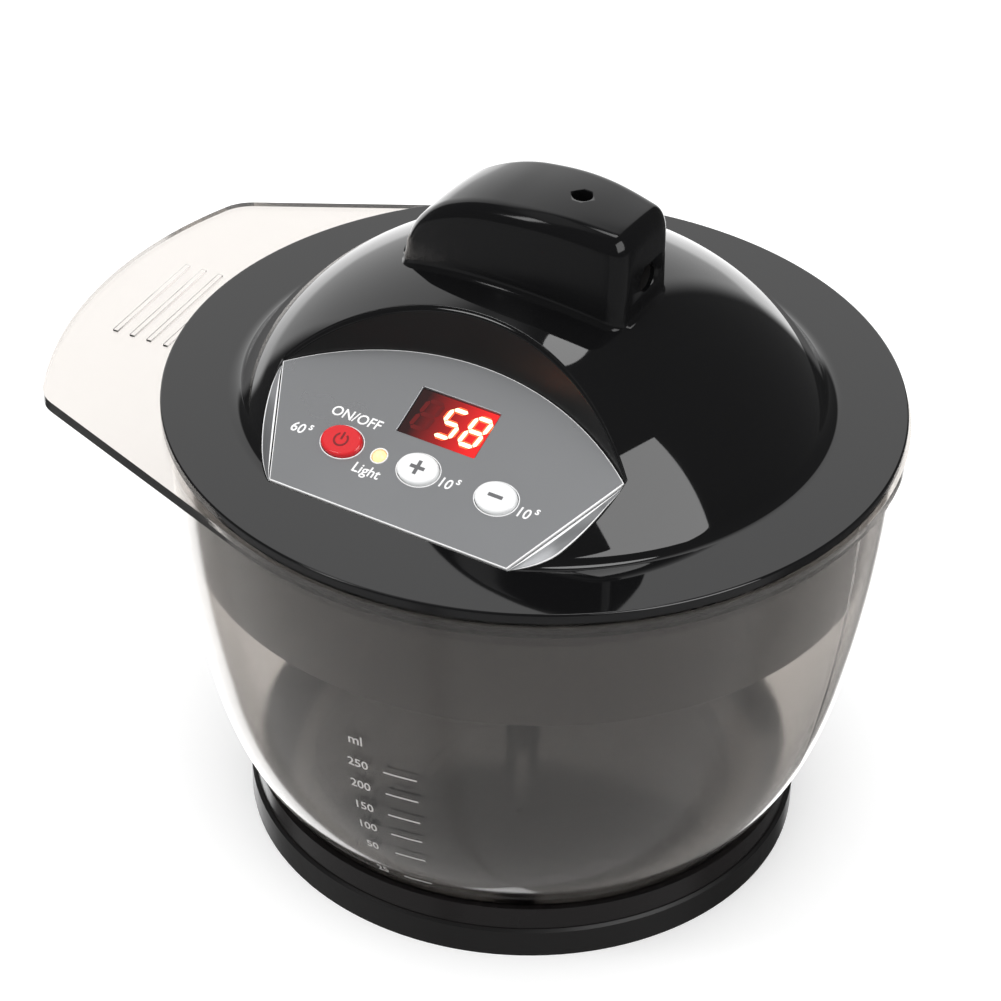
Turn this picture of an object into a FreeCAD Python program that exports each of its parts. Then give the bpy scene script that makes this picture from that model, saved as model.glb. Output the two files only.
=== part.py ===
import FreeCAD, Part
import math
import os

# Electric hair-colour mixing bowl. Millimetres. The origin is the middle of the foot, on the table;
# +Z is up and the control panel faces -Y. The bowl's handle points along -X, a few degrees off.

os.makedirs("parts", exist_ok=True)

V = FreeCAD.Vector
UP = V(0, 0, 1)
ORIGIN = V(0, 0, 0)

# ---------------------------------------------------------------- driving sizes
lid_radius = 82.5
lid_top = 110.0              # top of the lid's flat ring above the table
lid_plate = 2.4
lid_lift_gap = 0.3           # lid plate to bowl rim
lid_edge = 0.5
shell_wall = 2.2

rim_overhang = 0.7           # rim beyond the lid
rim_width = 2.2
rim_thickness = 2.6
bowl_wall = 2.0
bowl_floor = 2.5
foot_radius = 64.4
foot_height = 7.4
foot_flange = 3.0
foot_wall = 4.4
foot_band = 14.4
foot_edge = 0.6
cup_radius = 63.6
cup_height = 13.2
cup_floor = 2.0
cup_joint = 0.3              # bowl's wall starts above the cup's edge
bowl_foot_radius = 62.3      # bowl wall where it leaves the base cup
bowl_floor_radius = 50.0
# outer wall of the bowl: share of the wall's height, share of the flare
wall_shape = ((0.0, 0.0), (0.196, 0.465), (0.423, 0.727), (0.65, 0.888), (1.0, 1.0))

handle_direction = 187.0     # degrees from +X
handle_reach = 109.3
handle_end_radius = 103.8
handle_taper = 24.5
handle_corner = 10.0
grip_rib_count = 4
grip_rib_first = 95.6
grip_rib_pitch = 4.4
grip_rib_length = 32.0
grip_rib_width = 1.2
grip_rib_height = 0.5
grip_rib_shift = 5.0         # sideways from the handle's middle
grip_rib_turn = -2.5

dome_base_radius = 65.5
dome_height = 33.8
dome_join_angle = 30.0       # from upright, where the crown's arc meets the shoulder's
dome_foot_angle = 59.3       # from upright, at the foot
dome_fillet = 4.5

panel_tilt = 25.0
panel_front_half = 29.3
panel_side_half = 42.4
panel_side_reach = 27.5      # along the slope, from the front edge
panel_reach = 42.3
panel_lift = 0.3             # front edge above the lid's ring
panel_side_lean = 50.0       # sides lean out from upright as they go down
panel_side_spread = 4.0
panel_plate = 2.0
panel_wall = 1.6
panel_flange = 1.5
panel_flange_thickness = 1.8
panel_gap = 0.15
curtain_wall = 1.8

window_width = 19.1
window_height = 11.8
window_reach = 27.0
window_gap = 0.1
window_sink = 0.4
window_thickness = 1.2
window_lip = 1.0
window_lip_thickness = 0.5
display_width = 22.5
display_height = 14.0

button_reach = 14.1
button_pitch = 19.1
button_width = 9.6
button_height = 7.6
button_rise = 1.2
button_round = 0.7
button_gap = 0.25
button_travel = 0.8
button_lip = 1.0
button_lip_thickness = 0.8
button_lip_drop = 0.3
stem_radius = 1.5
stem_length = 1.3
led_place = -9.8
led_radius = 1.6
led_gap = 0.1
switch_size = 6.0
switch_plunger_radius = 1.7
switch_plunger_height = 0.6
switch_height = 3.1
switch_gap = 0.1             # pressed stem to plunger
board_thickness = 1.6
board_start = 7.0
board_gap = 0.6
board_boss_place = 29.0
board_boss_reach = 20.0
board_boss_radius = 2.6

knob_tail = 30.5
knob_end = 27.6
knob_half_width = 13.2
knob_end_half_width = 10.2
knob_crown = 52.0            # above the lid's ring
knob_edge_round = 3.0
knob_base = 6.0              # above the lid's ring, inside the dome
knob_tail_round = 6.0
knob_end_round = 3.0
knob_screw_place = 9.9
knob_screw_well = 2.3
knob_pillar_radius = 3.6
knob_pillar_top = 41.0
wire_hole_radius = 4.0
wire_hole_place = -8.0

jack_height = 37.5           # jack axis above the lid's ring
jack_bore_radius = 2.9
jack_hole_radius = 3.1
jack_half_width = 4.6
jack_length = 11.0
jack_pin_radius = 1.0
jack_back_radius = 2.4       # narrower bore round the pin
jack_clear_depth = 5.2
jack_back_wall = 1.5
jack_pin_drop = 1.0          # pin's tip behind the clear part of the bore
jack_gap = 0.05

drum_drop = 33.0             # drum's bottom below the lid's ring
drum_clearance = 1.0
drum_wall = 2.0
drum_floor = 2.2
seal_drop = 9.0
seal_width = 3.0
seal_groove = 1.0
seal_clearance = 0.4
pillar_radius = 3.6
pillar_circle = 70.0
pillar_split = 9.0           # above the drum's floor

shaft_radius = 3.0
running_gap = 0.05
seat_gap = 0.02
past = 1.0                   # how far a cutting solid runs past the face that it opens
let_in = 0.5                 # how far a boss is let into the wall that it stands on
bush_wall = 2.0
bush_flange = 1.5
bush_flange_thickness = 1.0
hub_boss_radius = 9.0
hub_boss_rise = 2.8
hub_boss_drop = 5.0
seal_ring_radius = 7.0
seal_ring_height = 2.5

gear_module = 0.6
pressure_angle = 25.0
tooth_addendum = 0.8
tooth_dedendum = 1.05
tooth_backlash = 0.12
pinion_teeth = 12
idler_teeth = 36
idler_small_teeth = 12
output_teeth = 44
gear_width = 5.0
idler_width = 4.0
gear_floor_gap = 4.8
gear_step = 1.0
gear_hub_wall = 1.8
pin_radius = 1.5
motor_direction = 192.0
motor_reach = 27.4
motor_radius = 12.0
motor_length = 27.0
motor_shaft_radius = 1.0
motor_collar_radius = 3.0
motor_screw_place = 8.0
motor_collar_height = 1.5
motor_shaft_end = 3.0        # inside the motor's far end
gear_end_gap = 0.3
gear_plate = 2.0
gear_plate_gap = 2.0
gear_plate_margin = 3.0
post_radius = 3.0
post_places = ((11.0, -16.5), (-37.0, -17.0), (-20.5, 8.6))

cell_radius = 7.1
cell_length = 49.0
cell_nub_radius = 2.7
cell_nub_length = 1.4
cell_columns = 2
cell_layers = 2
cell_gap = 0.4
contact_space = 1.8
contact_plate = 0.4
contact_size = 8.0
contact_cone_foot = 2.7
contact_cone_tip = 1.4
battery_wall = 1.2
battery_front = 14.6
cover_gap = 0.3
cover_ledge = 2.0

screw_radius = 1.25
screw_head_radius = 2.4
screw_head_height = 1.6
small_screw_radius = 0.95
small_head_radius = 1.9
small_head_height = 1.3
screw_slack = 0.15           # clearance hole round a shank
head_slack = 0.3
slot_half_width = 0.3
tip_room = 0.5               # thread hole beyond a screw's tip
housing_screw_grip = 8.0
housing_screw_seat = 4.0     # under the head, above the drum's bottom
knob_screw_grip = 9.0
knob_screw_seat = 1.6
plate_screw_grip = 6.0
motor_screw_grip = 3.0
board_screw_grip = 4.0

paddle_half_width = 42.0
paddle_top = 47.0
paddle_floor_gap = 2.6
paddle_thickness = 3.0
paddle_bar = 5.0
paddle_corner = 9.0
paddle_direction = 119.5     # degrees from +X
spindle_radius = 4.0
paddle_hub_radius = 6.5
paddle_hub_gap = 2.0
paddle_socket_depth = 10.0

# ---------------------------------------------------------------- worked-out places
lid_under = lid_top - lid_plate
rim_top = lid_under - lid_lift_gap
rim_under = rim_top - rim_thickness
rim_radius = lid_radius + rim_overhang
wall_top_radius = rim_radius - rim_width
cup_under = foot_flange
bowl_under = cup_under + cup_floor
bowl_inside = bowl_under + bowl_floor
wall_start = cup_height + cup_joint
drum_under = lid_top - drum_drop
drum_inside = drum_under + drum_floor
join_turn = math.radians(dome_join_angle)
foot_turn = math.radians(dome_foot_angle)
shoulder_run = math.sin(foot_turn) - math.sin(join_turn)
shoulder_drop = math.cos(join_turn) - math.cos(foot_turn)
dome_share = math.sin(join_turn) * shoulder_drop - (1 - math.cos(join_turn)) * shoulder_run
crown_radius = (dome_base_radius * shoulder_drop - dome_height * shoulder_run) / dome_share
shoulder_radius = (dome_height * math.sin(join_turn) - dome_base_radius * (1 - math.cos(join_turn))) / dome_share
CROWN = V(0, 0, lid_top + dome_height - crown_radius)
SHOULDER = CROWN + V(math.sin(join_turn), 0, math.cos(join_turn)) * (crown_radius - shoulder_radius)
panel_front = -math.sqrt((dome_base_radius + dome_fillet / 2) ** 2 - panel_front_half ** 2)
tilt = math.radians(panel_tilt)
PANEL_UP = V(0, math.cos(tilt), math.sin(tilt))
PANEL_OUT = V(0, -math.sin(tilt), math.cos(tilt))
PANEL_FOOT = V(0, panel_front, lid_top + panel_lift)
gear_low = drum_inside + gear_floor_gap
gear_high = gear_low + gear_width
idler_low = gear_high + gear_step
idler_high = idler_low + idler_width
plate_low = idler_high + gear_plate_gap
plate_high = plate_low + gear_plate
idler_distance = gear_module * (idler_small_teeth + output_teeth) / 2
motor_distance = gear_module * (pinion_teeth + idler_teeth) / 2
swing = math.acos((idler_distance ** 2 + motor_reach ** 2 - motor_distance ** 2)
                  / (2 * idler_distance * motor_reach))
idler_angle = math.radians(motor_direction) + swing
IDLER = V(idler_distance * math.cos(idler_angle), idler_distance * math.sin(idler_angle), 0)
MOTOR = V(motor_reach * math.cos(math.radians(motor_direction)),
          motor_reach * math.sin(math.radians(motor_direction)), 0)
mesh_angle = math.atan2(MOTOR.y - IDLER.y, MOTOR.x - IDLER.x)
board_top = -(button_lip_drop + panel_plate + button_lip_thickness + stem_length + button_travel
              + switch_gap + switch_plunger_height + switch_height)
board_low = board_top - board_thickness


# ---------------------------------------------------------------- shapes used all over
def rod(radius, low, high, at=ORIGIN):
    return Part.makeCylinder(radius, high - low, V(at.x, at.y, low))


def tube(outer, inner, low, high, at=ORIGIN):
    return rod(outer, low, high, at).cut(rod(inner, low, high, at))


def block(low, high):
    size = high - low
    return Part.makeBox(size.x, size.y, size.z, low)


def turned(points):
    """A solid of revolution about Z from (radius, height) points."""
    outline = [V(r, 0, z) for r, z in points]
    face = Part.Face(Part.makePolygon(outline + outline[:1]))
    return face.revolve(ORIGIN, UP, 360)


def fused(first, *others):
    return first.multiFuse(list(others)).removeSplitter()


def turned_to(shape, degrees):
    shape.rotate(ORIGIN, UP, degrees)
    return shape


def export(node, shape):
    shape.exportStep("parts/" + node + ".step")


# ---------------------------------------------------------------- bowl and base
def wall_radius(height):
    """Outer radius of the bowl's wall, on the safe side of its curve."""
    share = (height - wall_start) / (rim_under - wall_start)
    for (low, near), (high, far) in zip(wall_shape, wall_shape[1:]):
        if low <= share <= high:
            flare = near + (far - near) * (share - low) / (high - low)
            return bowl_foot_radius + flare * (wall_top_radius - bowl_foot_radius)
    return wall_top_radius


def bowl_solid(wall, floor, top):
    """The bowl's outside moved in by a wall, from its floor up to top."""
    points = []
    for share, flare in wall_shape:
        radius = bowl_foot_radius + flare * (wall_top_radius - bowl_foot_radius)
        points.append(V(radius - wall, 0, wall_start + share * (rim_under - wall_start)))
    side = Part.BSplineCurve()
    side.interpolate(points)
    start, end = points[0], points[-1]
    base = V(bowl_floor_radius - wall, 0, bowl_under + floor)
    # a round joins the flat floor to the wall
    across, rise = start.x - base.x, start.z - base.z
    bend = (across ** 2 + rise ** 2) / (2 * rise)
    half_turn = math.asin(across / bend) / 2
    middle = base + V(bend * math.sin(half_turn), 0, bend * (1 - math.cos(half_turn)))
    lip = V(end.x, 0, top)
    edges = [
        Part.LineSegment(V(0, 0, base.z), base).toShape(),
        Part.Arc(base, middle, start).toShape(),
        side.toShape(),
        Part.LineSegment(end, lip).toShape(),
        Part.LineSegment(lip, V(0, 0, top)).toShape(),
        Part.LineSegment(V(0, 0, top), V(0, 0, base.z)).toShape(),
    ]
    return Part.Face(Part.Wire(edges)).revolve(ORIGIN, UP, 360)


def handle_plate():
    """Flat handle whose sides leave the rim at a tangent and close in to a gently bowed end."""
    taper = math.radians(handle_taper)
    centre = handle_reach - handle_end_radius
    touch = V(rim_radius * math.sin(taper), rim_radius * math.cos(taper), rim_under)
    # where the straight side meets the end arc
    along = V(math.cos(taper), -math.sin(taper), 0)
    start = V(touch.x - centre, touch.y, 0)
    lead = start.dot(along)
    length = -lead + math.sqrt(lead ** 2 - start.dot(start) + handle_end_radius ** 2)
    corner = touch + along * length
    mirror = V(corner.x, -corner.y, corner.z)
    far = V(handle_reach, 0, rim_under)
    inner = V(touch.x, -touch.y, rim_under)
    edges = [
        Part.LineSegment(touch, corner).toShape(),
        Part.Arc(corner, far, mirror).toShape(),
        Part.LineSegment(mirror, inner).toShape(),
        Part.LineSegment(inner, touch).toShape(),
    ]
    plate = Part.Face(Part.Wire(edges)).extrude(V(0, 0, rim_thickness))
    ends = [e for e in plate.Edges
            if abs(e.CenterOfMass.x - corner.x) < 0.1 and abs(abs(e.CenterOfMass.y) - corner.y) < 0.1]
    return plate.makeFillet(handle_corner, ends)


def grip_ribs():
    """Low ribs across the handle, outside the lid's edge."""
    ribs = []
    for i in range(grip_rib_count):
        x = grip_rib_first - i * grip_rib_pitch
        low = V(x - grip_rib_width / 2, grip_rib_shift - grip_rib_length / 2, rim_top - grip_rib_height)
        high = V(x + grip_rib_width / 2, grip_rib_shift + grip_rib_length / 2, rim_top + grip_rib_height)
        ribs.append(turned_to(block(low, high), grip_rib_turn))
    lid_zone = rod(rim_radius, rim_top, rim_top + 2 * grip_rib_height)
    return [rib.cut(lid_zone) for rib in ribs]


bowl_hollow = bowl_solid(bowl_wall, bowl_floor, rim_top + past)
rim_band = rod(rim_radius, rim_under, rim_top)
handle = turned_to(fused(handle_plate(), *grip_ribs()), handle_direction)
bowl = fused(bowl_solid(0, 0, rim_top), rim_band, handle).cut(bowl_hollow)
export("bowl", bowl)

cup_body = fused(rod(foot_radius - foot_wall, cup_under, foot_height), rod(cup_radius, foot_height, cup_height))
bowl_seat = bowl_solid(-seat_gap, 0, rim_top)
export("base_cup", cup_body.cut(bowl_seat))

foot_ring = turned([
    (foot_radius - foot_band, 0), (foot_radius, 0), (foot_radius, foot_height - foot_edge),
    (foot_radius - foot_edge, foot_height), (foot_radius - foot_wall, foot_height),
    (foot_radius - foot_wall, foot_flange), (foot_radius - foot_band, foot_flange),
])
export("foot_ring", foot_ring)


# ---------------------------------------------------------------- lid shell
def dome_arcs(inset, end_turn):
    """The dome's crown and shoulder arcs moved in by inset, from its top to a turn from upright."""
    def on_arc(centre, radius, turn):
        return centre + V(math.sin(turn), 0, math.cos(turn)) * (radius - inset)

    top = on_arc(CROWN, crown_radius, 0)
    join = on_arc(CROWN, crown_radius, join_turn)
    end = on_arc(SHOULDER, shoulder_radius, end_turn)
    return end, [
        Part.Arc(top, on_arc(CROWN, crown_radius, join_turn / 2), join).toShape(),
        Part.Arc(join, on_arc(SHOULDER, shoulder_radius, (join_turn + end_turn) / 2), end).toShape(),
    ]


def outline_from(edges, points):
    """Close a profile: its edges, then straight lines through the points and back to its start."""
    start = edges[0].Vertexes[0].Point
    for low, high in zip(points, points[1:] + [start]):
        edges.append(Part.LineSegment(low, high).toShape())
    return Part.Face(Part.Wire(edges)).revolve(ORIGIN, UP, 360)


def dome_solid(inset, radius, floor):
    """The dome moved in by inset, out to an upright wall at a radius and down to a flat floor."""
    end_turn = math.asin((radius - SHOULDER.x) / (shoulder_radius - inset))
    end, arcs = dome_arcs(inset, end_turn)
    return outline_from(arcs, [end, V(radius, 0, floor), V(0, 0, floor)])


def lid_outside():
    """Dome, the round at its foot and the flat ring, as one turned solid."""
    rise = lid_top + dome_fillet - SHOULDER.z
    reach = shoulder_radius + dome_fillet
    fillet_middle = V(SHOULDER.x + math.sqrt(reach ** 2 - rise ** 2), 0, lid_top + dome_fillet)
    end, edges = dome_arcs(0, math.acos(rise / reach))
    ring_start = fillet_middle - V(0, 0, dome_fillet)
    halfway = (end - fillet_middle).normalize() - UP
    edges.append(Part.Arc(end, fillet_middle + halfway.normalize() * dome_fillet, ring_start).toShape())
    return outline_from(edges, [
        ring_start, V(lid_radius - lid_edge, 0, lid_top), V(lid_radius, 0, lid_top - lid_edge),
        V(lid_radius, 0, lid_under), V(0, 0, lid_under),
    ])


def panel_outline(grow, height, spread=0.0):
    """Plan outline of the control panel as a face: sides moved out by spread, then grown all round."""
    side_y = panel_front + panel_side_reach * math.cos(tilt)
    top_y = panel_front + panel_reach * math.cos(tilt)
    side_line = V(panel_side_half - panel_front_half, side_y - panel_front, 0).normalize()
    outward = V(side_line.y, -side_line.x, 0)
    front_corner = V(panel_front_half + spread / outward.x, panel_front, 0)
    # the arch is part of a circle; it runs on until it meets the moved side
    arch_radius = (panel_side_half ** 2 + (top_y - side_y) ** 2) / (2 * (top_y - side_y))
    arch_middle = top_y - arch_radius
    offset = V(panel_front_half, panel_front - arch_middle, 0).dot(outward) + spread
    arch_end = math.asin(offset / arch_radius) - math.atan2(outward.y, outward.x)
    back_corner = V(arch_radius * math.sin(arch_end), arch_middle + arch_radius * math.cos(arch_end), 0)
    left_front = V(-front_corner.x, front_corner.y, 0)
    left_back = V(-back_corner.x, back_corner.y, 0)
    wire = Part.Wire([
        Part.LineSegment(left_front, front_corner).toShape(),
        Part.LineSegment(front_corner, back_corner).toShape(),
        Part.Arc(back_corner, V(0, top_y, 0), left_back).toShape(),
        Part.LineSegment(left_back, left_front).toShape(),
    ])
    if grow:
        wire = wire.makeOffset2D(grow, 2)
    face = Part.Face(wire)
    face.translate(V(0, 0, height))
    return face


def panel_prism(grow, low, high):
    return panel_outline(grow, low).extrude(V(0, 0, high - low))


def panel_block(grow, low, high):
    """Panel outline, upright above the side edges of its face; below them the sides lean outwards."""
    body = panel_outline(grow, low, panel_side_spread).extrude(V(0, 0, high - low))
    lean = math.radians(panel_side_lean)
    reach = 2 * lid_radius
    for side in (-1, 1):
        front = V(side * panel_front_half, 0, 0) + PANEL_FOOT
        back = V(side * panel_side_half, 0, 0) + PANEL_FOOT + PANEL_UP * panel_side_reach
        edge = (back - front).normalize()
        outward = V(side * edge.y, -side * edge.x, 0).normalize()
        down = outward * math.sin(lean) - UP * math.cos(lean)
        corner = front - edge * reach + outward * grow + UP * grow * math.tan(lean / 2)
        section = Part.Face(Part.makePolygon([
            corner, corner + UP * reach, corner + (UP + outward) * reach,
            corner + down * reach, corner,
        ]))
        body = body.cut(section.extrude(edge * 2 * reach))
    return body


dome_crown = lid_top + dome_height
above_dome = dome_crown + 5
# the ring stays flat in front of the panel
front_zone = block(V(-lid_radius, -lid_radius, lid_top), V(lid_radius, panel_front, above_dome))
hollow_radius = -panel_front - panel_gap
dome_hollow = dome_solid(shell_wall, hollow_radius, lid_under - past)
# the hollow keeps off the panel's opening, which leaves a curtain wall round it
dome_hollow = dome_hollow.cut(panel_block(panel_gap + curtain_wall, lid_under - 2 * past, above_dome))
lid_shell = lid_outside().cut(front_zone).cut(panel_block(panel_gap, lid_under - 2 * past, above_dome))
pillars = []
for i in range(4):
    angle = math.radians(45 + 90 * i)
    pillars.append(V(pillar_circle * math.cos(angle), pillar_circle * math.sin(angle), 0))
drum_split = drum_inside + pillar_split
lid_pillars = [rod(pillar_radius, drum_split, lid_under + shell_wall / 2, spot) for spot in pillars]
knob_pillar = rod(knob_pillar_radius, dome_crown - 6, lid_top + knob_pillar_top, V(knob_screw_place, 0, 0))
lid_shell = fused(lid_shell.cut(dome_hollow), knob_pillar, *lid_pillars)
lid_shell = lid_shell.cut(rod(wire_hole_radius, lid_top, dome_crown + past, V(wire_hole_place, 0, 0)))
screw_tip = drum_split + housing_screw_grip
for spot in pillars:
    lid_shell = lid_shell.cut(rod(screw_radius + seat_gap, drum_split - past, screw_tip + tip_room, spot))
pillar_end = lid_top + knob_pillar_top
knob_screw_tip = pillar_end - knob_screw_grip
lid_shell = lid_shell.cut(rod(small_screw_radius + seat_gap, knob_screw_tip - tip_room,
                              pillar_end + past, V(knob_screw_place, 0, 0)))
export("lid_shell", lid_shell)


# ---------------------------------------------------------------- grip and its fittings
def knob_body(inset):
    """Loaf shape: a side outline crossed with a barrel-shaped plan."""
    base = lid_top + knob_base
    crown = lid_top + knob_crown - inset
    tail = -knob_tail + inset
    end = knob_end - inset
    side = Part.BSplineCurve()
    side.interpolate([
        V(tail, 0, crown - 24),
        V(tail + 4.2, 0, crown - 13.8),
        V(tail + 15.7, 0, crown - 4.0),
        V(tail + 29.5, 0, crown - 0.6),
        V(tail + 39.5, 0, crown),
        V(end, 0, crown - 2.2),
    ])
    side_edges = [
        Part.LineSegment(V(tail, 0, base), V(tail, 0, crown - 24)).toShape(),
        side.toShape(),
        Part.LineSegment(V(end, 0, crown - 2.2), V(end, 0, base)).toShape(),
        Part.LineSegment(V(end, 0, base), V(tail, 0, base)).toShape(),
    ]
    side_face = Part.Face(Part.Wire(side_edges))
    side_face.translate(V(0, -2 * knob_half_width, 0))
    loaf = side_face.extrude(V(0, 4 * knob_half_width, 0))
    half = knob_half_width - inset
    end_half = knob_end_half_width - inset
    plan_edges = [
        Part.Arc(V(tail, -end_half, base), V(0, -half, base), V(end, -end_half, base)).toShape(),
        Part.LineSegment(V(end, -end_half, base), V(end, end_half, base)).toShape(),
        Part.Arc(V(end, end_half, base), V(0, half, base), V(tail, end_half, base)).toShape(),
        Part.LineSegment(V(tail, end_half, base), V(tail, -end_half, base)).toShape(),
    ]
    plan = Part.Face(Part.Wire(plan_edges)).extrude(V(0, 0, knob_crown))
    loaf = loaf.common(plan)

    def corners(x):
        return [e for e in loaf.Edges if abs(e.CenterOfMass.x - x) < 0.05
                and abs(abs(e.CenterOfMass.y) - end_half) < 0.05 and e.Length > 5]

    loaf = loaf.makeFillet(knob_tail_round - inset / 2, corners(tail))
    loaf = loaf.makeFillet(knob_end_round - inset / 2, corners(end))
    top_edges = [e for e in loaf.Edges if e.BoundBox.ZMin > base + 1]
    return loaf.makeFillet(knob_edge_round - 0.8 * inset, top_edges)


dome_under_knob = dome_solid(-seat_gap, hollow_radius, lid_under)
knob_place = V(knob_screw_place, 0, 0)
jack_axis = V(knob_end, 0, lid_top + jack_height)
knob_outside = knob_body(0)
knob_tube = rod(knob_pillar_radius, pillar_end + seat_gap, lid_top + knob_crown - past, knob_place)
knob_shell = knob_outside.cut(knob_body(shell_wall))
knob_shell = fused(knob_shell, knob_tube).cut(dome_under_knob)
well_floor = pillar_end + knob_screw_seat
knob_shell = knob_shell.cut(rod(knob_screw_well, well_floor, lid_top + knob_crown + past, knob_place))
knob_shell = knob_shell.cut(rod(small_screw_radius + screw_slack, pillar_end - past, well_floor + past, knob_place))
jack_hole = Part.makeCylinder(jack_hole_radius, 3 * shell_wall, jack_axis - V(2 * shell_wall, 0, 0), V(1, 0, 0))
knob_shell = knob_shell.cut(jack_hole)
export("knob_shell", knob_shell)


def screw(radius, head_radius, head_height, head_face, tip, at):
    """Screw along Z: its head sits against head_face and its shank ends at tip."""
    away = 1 if head_face > tip else -1
    head_low = min(head_face, head_face + away * head_height)
    head = rod(head_radius, head_low, head_low + head_height, at)
    shank = rod(radius, min(head_face, tip), max(head_face, tip), at)
    slot_low = head_low + head_height / 2 if away > 0 else head_low - 0.01
    slot = block(V(at.x - head_radius, at.y - slot_half_width, slot_low),
                 V(at.x + head_radius, at.y + slot_half_width, slot_low + head_height / 2 + 0.01))
    return fused(head, shank).cut(slot)


export("knob_screw", screw(small_screw_radius, small_head_radius, small_head_height,
                           well_floor + seat_gap, knob_screw_tip, knob_place))

jack_front = knob_end - shell_wall - jack_gap
jack_rear = jack_front - jack_length


def along_jack(radius, start, end):
    """Rod on the jack's axis between two places along X."""
    return Part.makeCylinder(radius, end - start, V(start, 0, jack_axis.z), V(1, 0, 0))


jack_box = block(V(jack_rear, -jack_half_width, jack_axis.z - jack_half_width),
                 V(jack_front, jack_half_width, jack_axis.z + jack_half_width))
jack_bore = along_jack(jack_bore_radius, jack_front - jack_clear_depth, jack_front)
jack_back = along_jack(jack_back_radius, jack_rear + jack_back_wall, jack_front)
jack_pin = along_jack(jack_pin_radius, jack_rear + jack_back_wall / 2,
                      jack_front - jack_clear_depth - jack_pin_drop)
export("power_inlet", fused(jack_box.cut(jack_bore).cut(jack_back), jack_pin))


# ---------------------------------------------------------------- drum under the lid
drum_radius = wall_radius(drum_under) - bowl_wall - drum_clearance
seal_low = lid_top - seal_drop - seal_width / 2
seal_high = seal_low + seal_width
seal_radius = wall_radius(seal_low) - bowl_wall - seal_clearance
bush_radius = shaft_radius + running_gap + bush_wall
collar_low = drum_under - hub_boss_drop
boss_high = drum_inside + hub_boss_rise
seat_high = collar_low + seal_ring_height
cell_pitch = 2 * cell_radius + cell_gap
cell_row = (cell_columns - 1) * cell_pitch
bay_half = (cell_length + cell_nub_length) / 2 + contact_space
bay_front = battery_front + battery_wall
bay_back = bay_front + cell_row + 2 * (cell_radius + cell_gap)

drum = rod(drum_radius, drum_under, lid_under)
drum = drum.cut(rod(drum_radius - drum_wall, drum_inside, lid_under + past))
lower_pillars = [rod(pillar_radius, drum_under + let_in, drum_split, spot) for spot in pillars]
posts = [rod(post_radius, drum_under + let_in, plate_low, V(x, y, 0)) for x, y in post_places]
pin_boss = rod(post_radius, drum_under + let_in, gear_low - gear_step + tip_room, IDLER)
collar = rod(hub_boss_radius, collar_low, boss_high)
drum = fused(drum, collar, pin_boss, *(lower_pillars + posts))
drum = drum.cut(rod(bush_radius + seat_gap, collar_low - past, boss_high + past))
drum = drum.cut(rod(seal_ring_radius + seat_gap, collar_low - past, seat_high))
drum = drum.cut(tube(drum_radius + past, drum_radius - seal_groove, seal_low - seat_gap, seal_high + seat_gap))
screw_floor = drum_under + housing_screw_seat
plate_screw_tip = plate_low - plate_screw_grip
for spot in pillars:
    drum = drum.cut(rod(screw_head_radius + head_slack, drum_under - past, screw_floor, spot))
    drum = drum.cut(rod(screw_radius + screw_slack, drum_under, drum_split + past, spot))
for x, y in post_places:
    drum = drum.cut(rod(small_screw_radius + seat_gap, plate_screw_tip - past, plate_low + past, V(x, y, 0)))
drum = drum.cut(rod(pin_radius + seat_gap, drum_inside - seat_gap, gear_high, IDLER))
battery_opening = block(V(-bay_half, bay_front, drum_under - past), V(bay_half, bay_back, drum_inside + past))
cover_low = V(-bay_half - cover_ledge, bay_front - cover_ledge, drum_under)
cover_high = V(bay_half + cover_ledge, bay_back + cover_ledge, drum_under + drum_floor / 2)
rebate = block(cover_low - V(0, 0, past), cover_high)
drum = drum.cut(battery_opening).cut(rebate)
export("drum_housing", drum)

lid_screws = [screw(screw_radius, screw_head_radius, screw_head_height, screw_floor - seat_gap, screw_tip, spot)
              for spot in pillars]
export("housing_screws", Part.makeCompound(lid_screws))
export("lid_seal", tube(seal_radius, drum_radius - seal_groove + seat_gap, seal_low, seal_high))

bush = tube(bush_radius, shaft_radius + running_gap, seat_high, boss_high)
bush_top = tube(bush_radius + bush_flange, shaft_radius + running_gap, boss_high,
                boss_high + bush_flange_thickness)
export("shaft_bush", fused(bush, bush_top))
export("shaft_seal", tube(seal_ring_radius, shaft_radius + running_gap, collar_low + running_gap, seat_high))


# ---------------------------------------------------------------- control panel
def sloped(shape):
    """Move a shape drawn flat at the origin onto the panel's slope."""
    shape.rotate(ORIGIN, V(1, 0, 0), panel_tilt)
    shape.translate(PANEL_FOOT)
    return shape


def slab(width, height, reach, low, high, across=0.0):
    return block(V(across - width / 2, reach - height / 2, low), V(across + width / 2, reach + height / 2, high))


def oval(width, height, low, high, at):
    """Upright solid with an elliptical plan."""
    ellipse = Part.Ellipse(V(at.x, at.y, low), width / 2, height / 2)
    return Part.Face(Part.Wire(ellipse.toShape())).extrude(V(0, 0, high - low))


def below_panel(shape, depth):
    """Keep only what lies deeper than depth under the panel's face."""
    reach = 3 * lid_radius
    cover = sloped(block(V(-reach, -reach, depth), V(reach, reach, depth + reach)))
    return shape.cut(cover)


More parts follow.
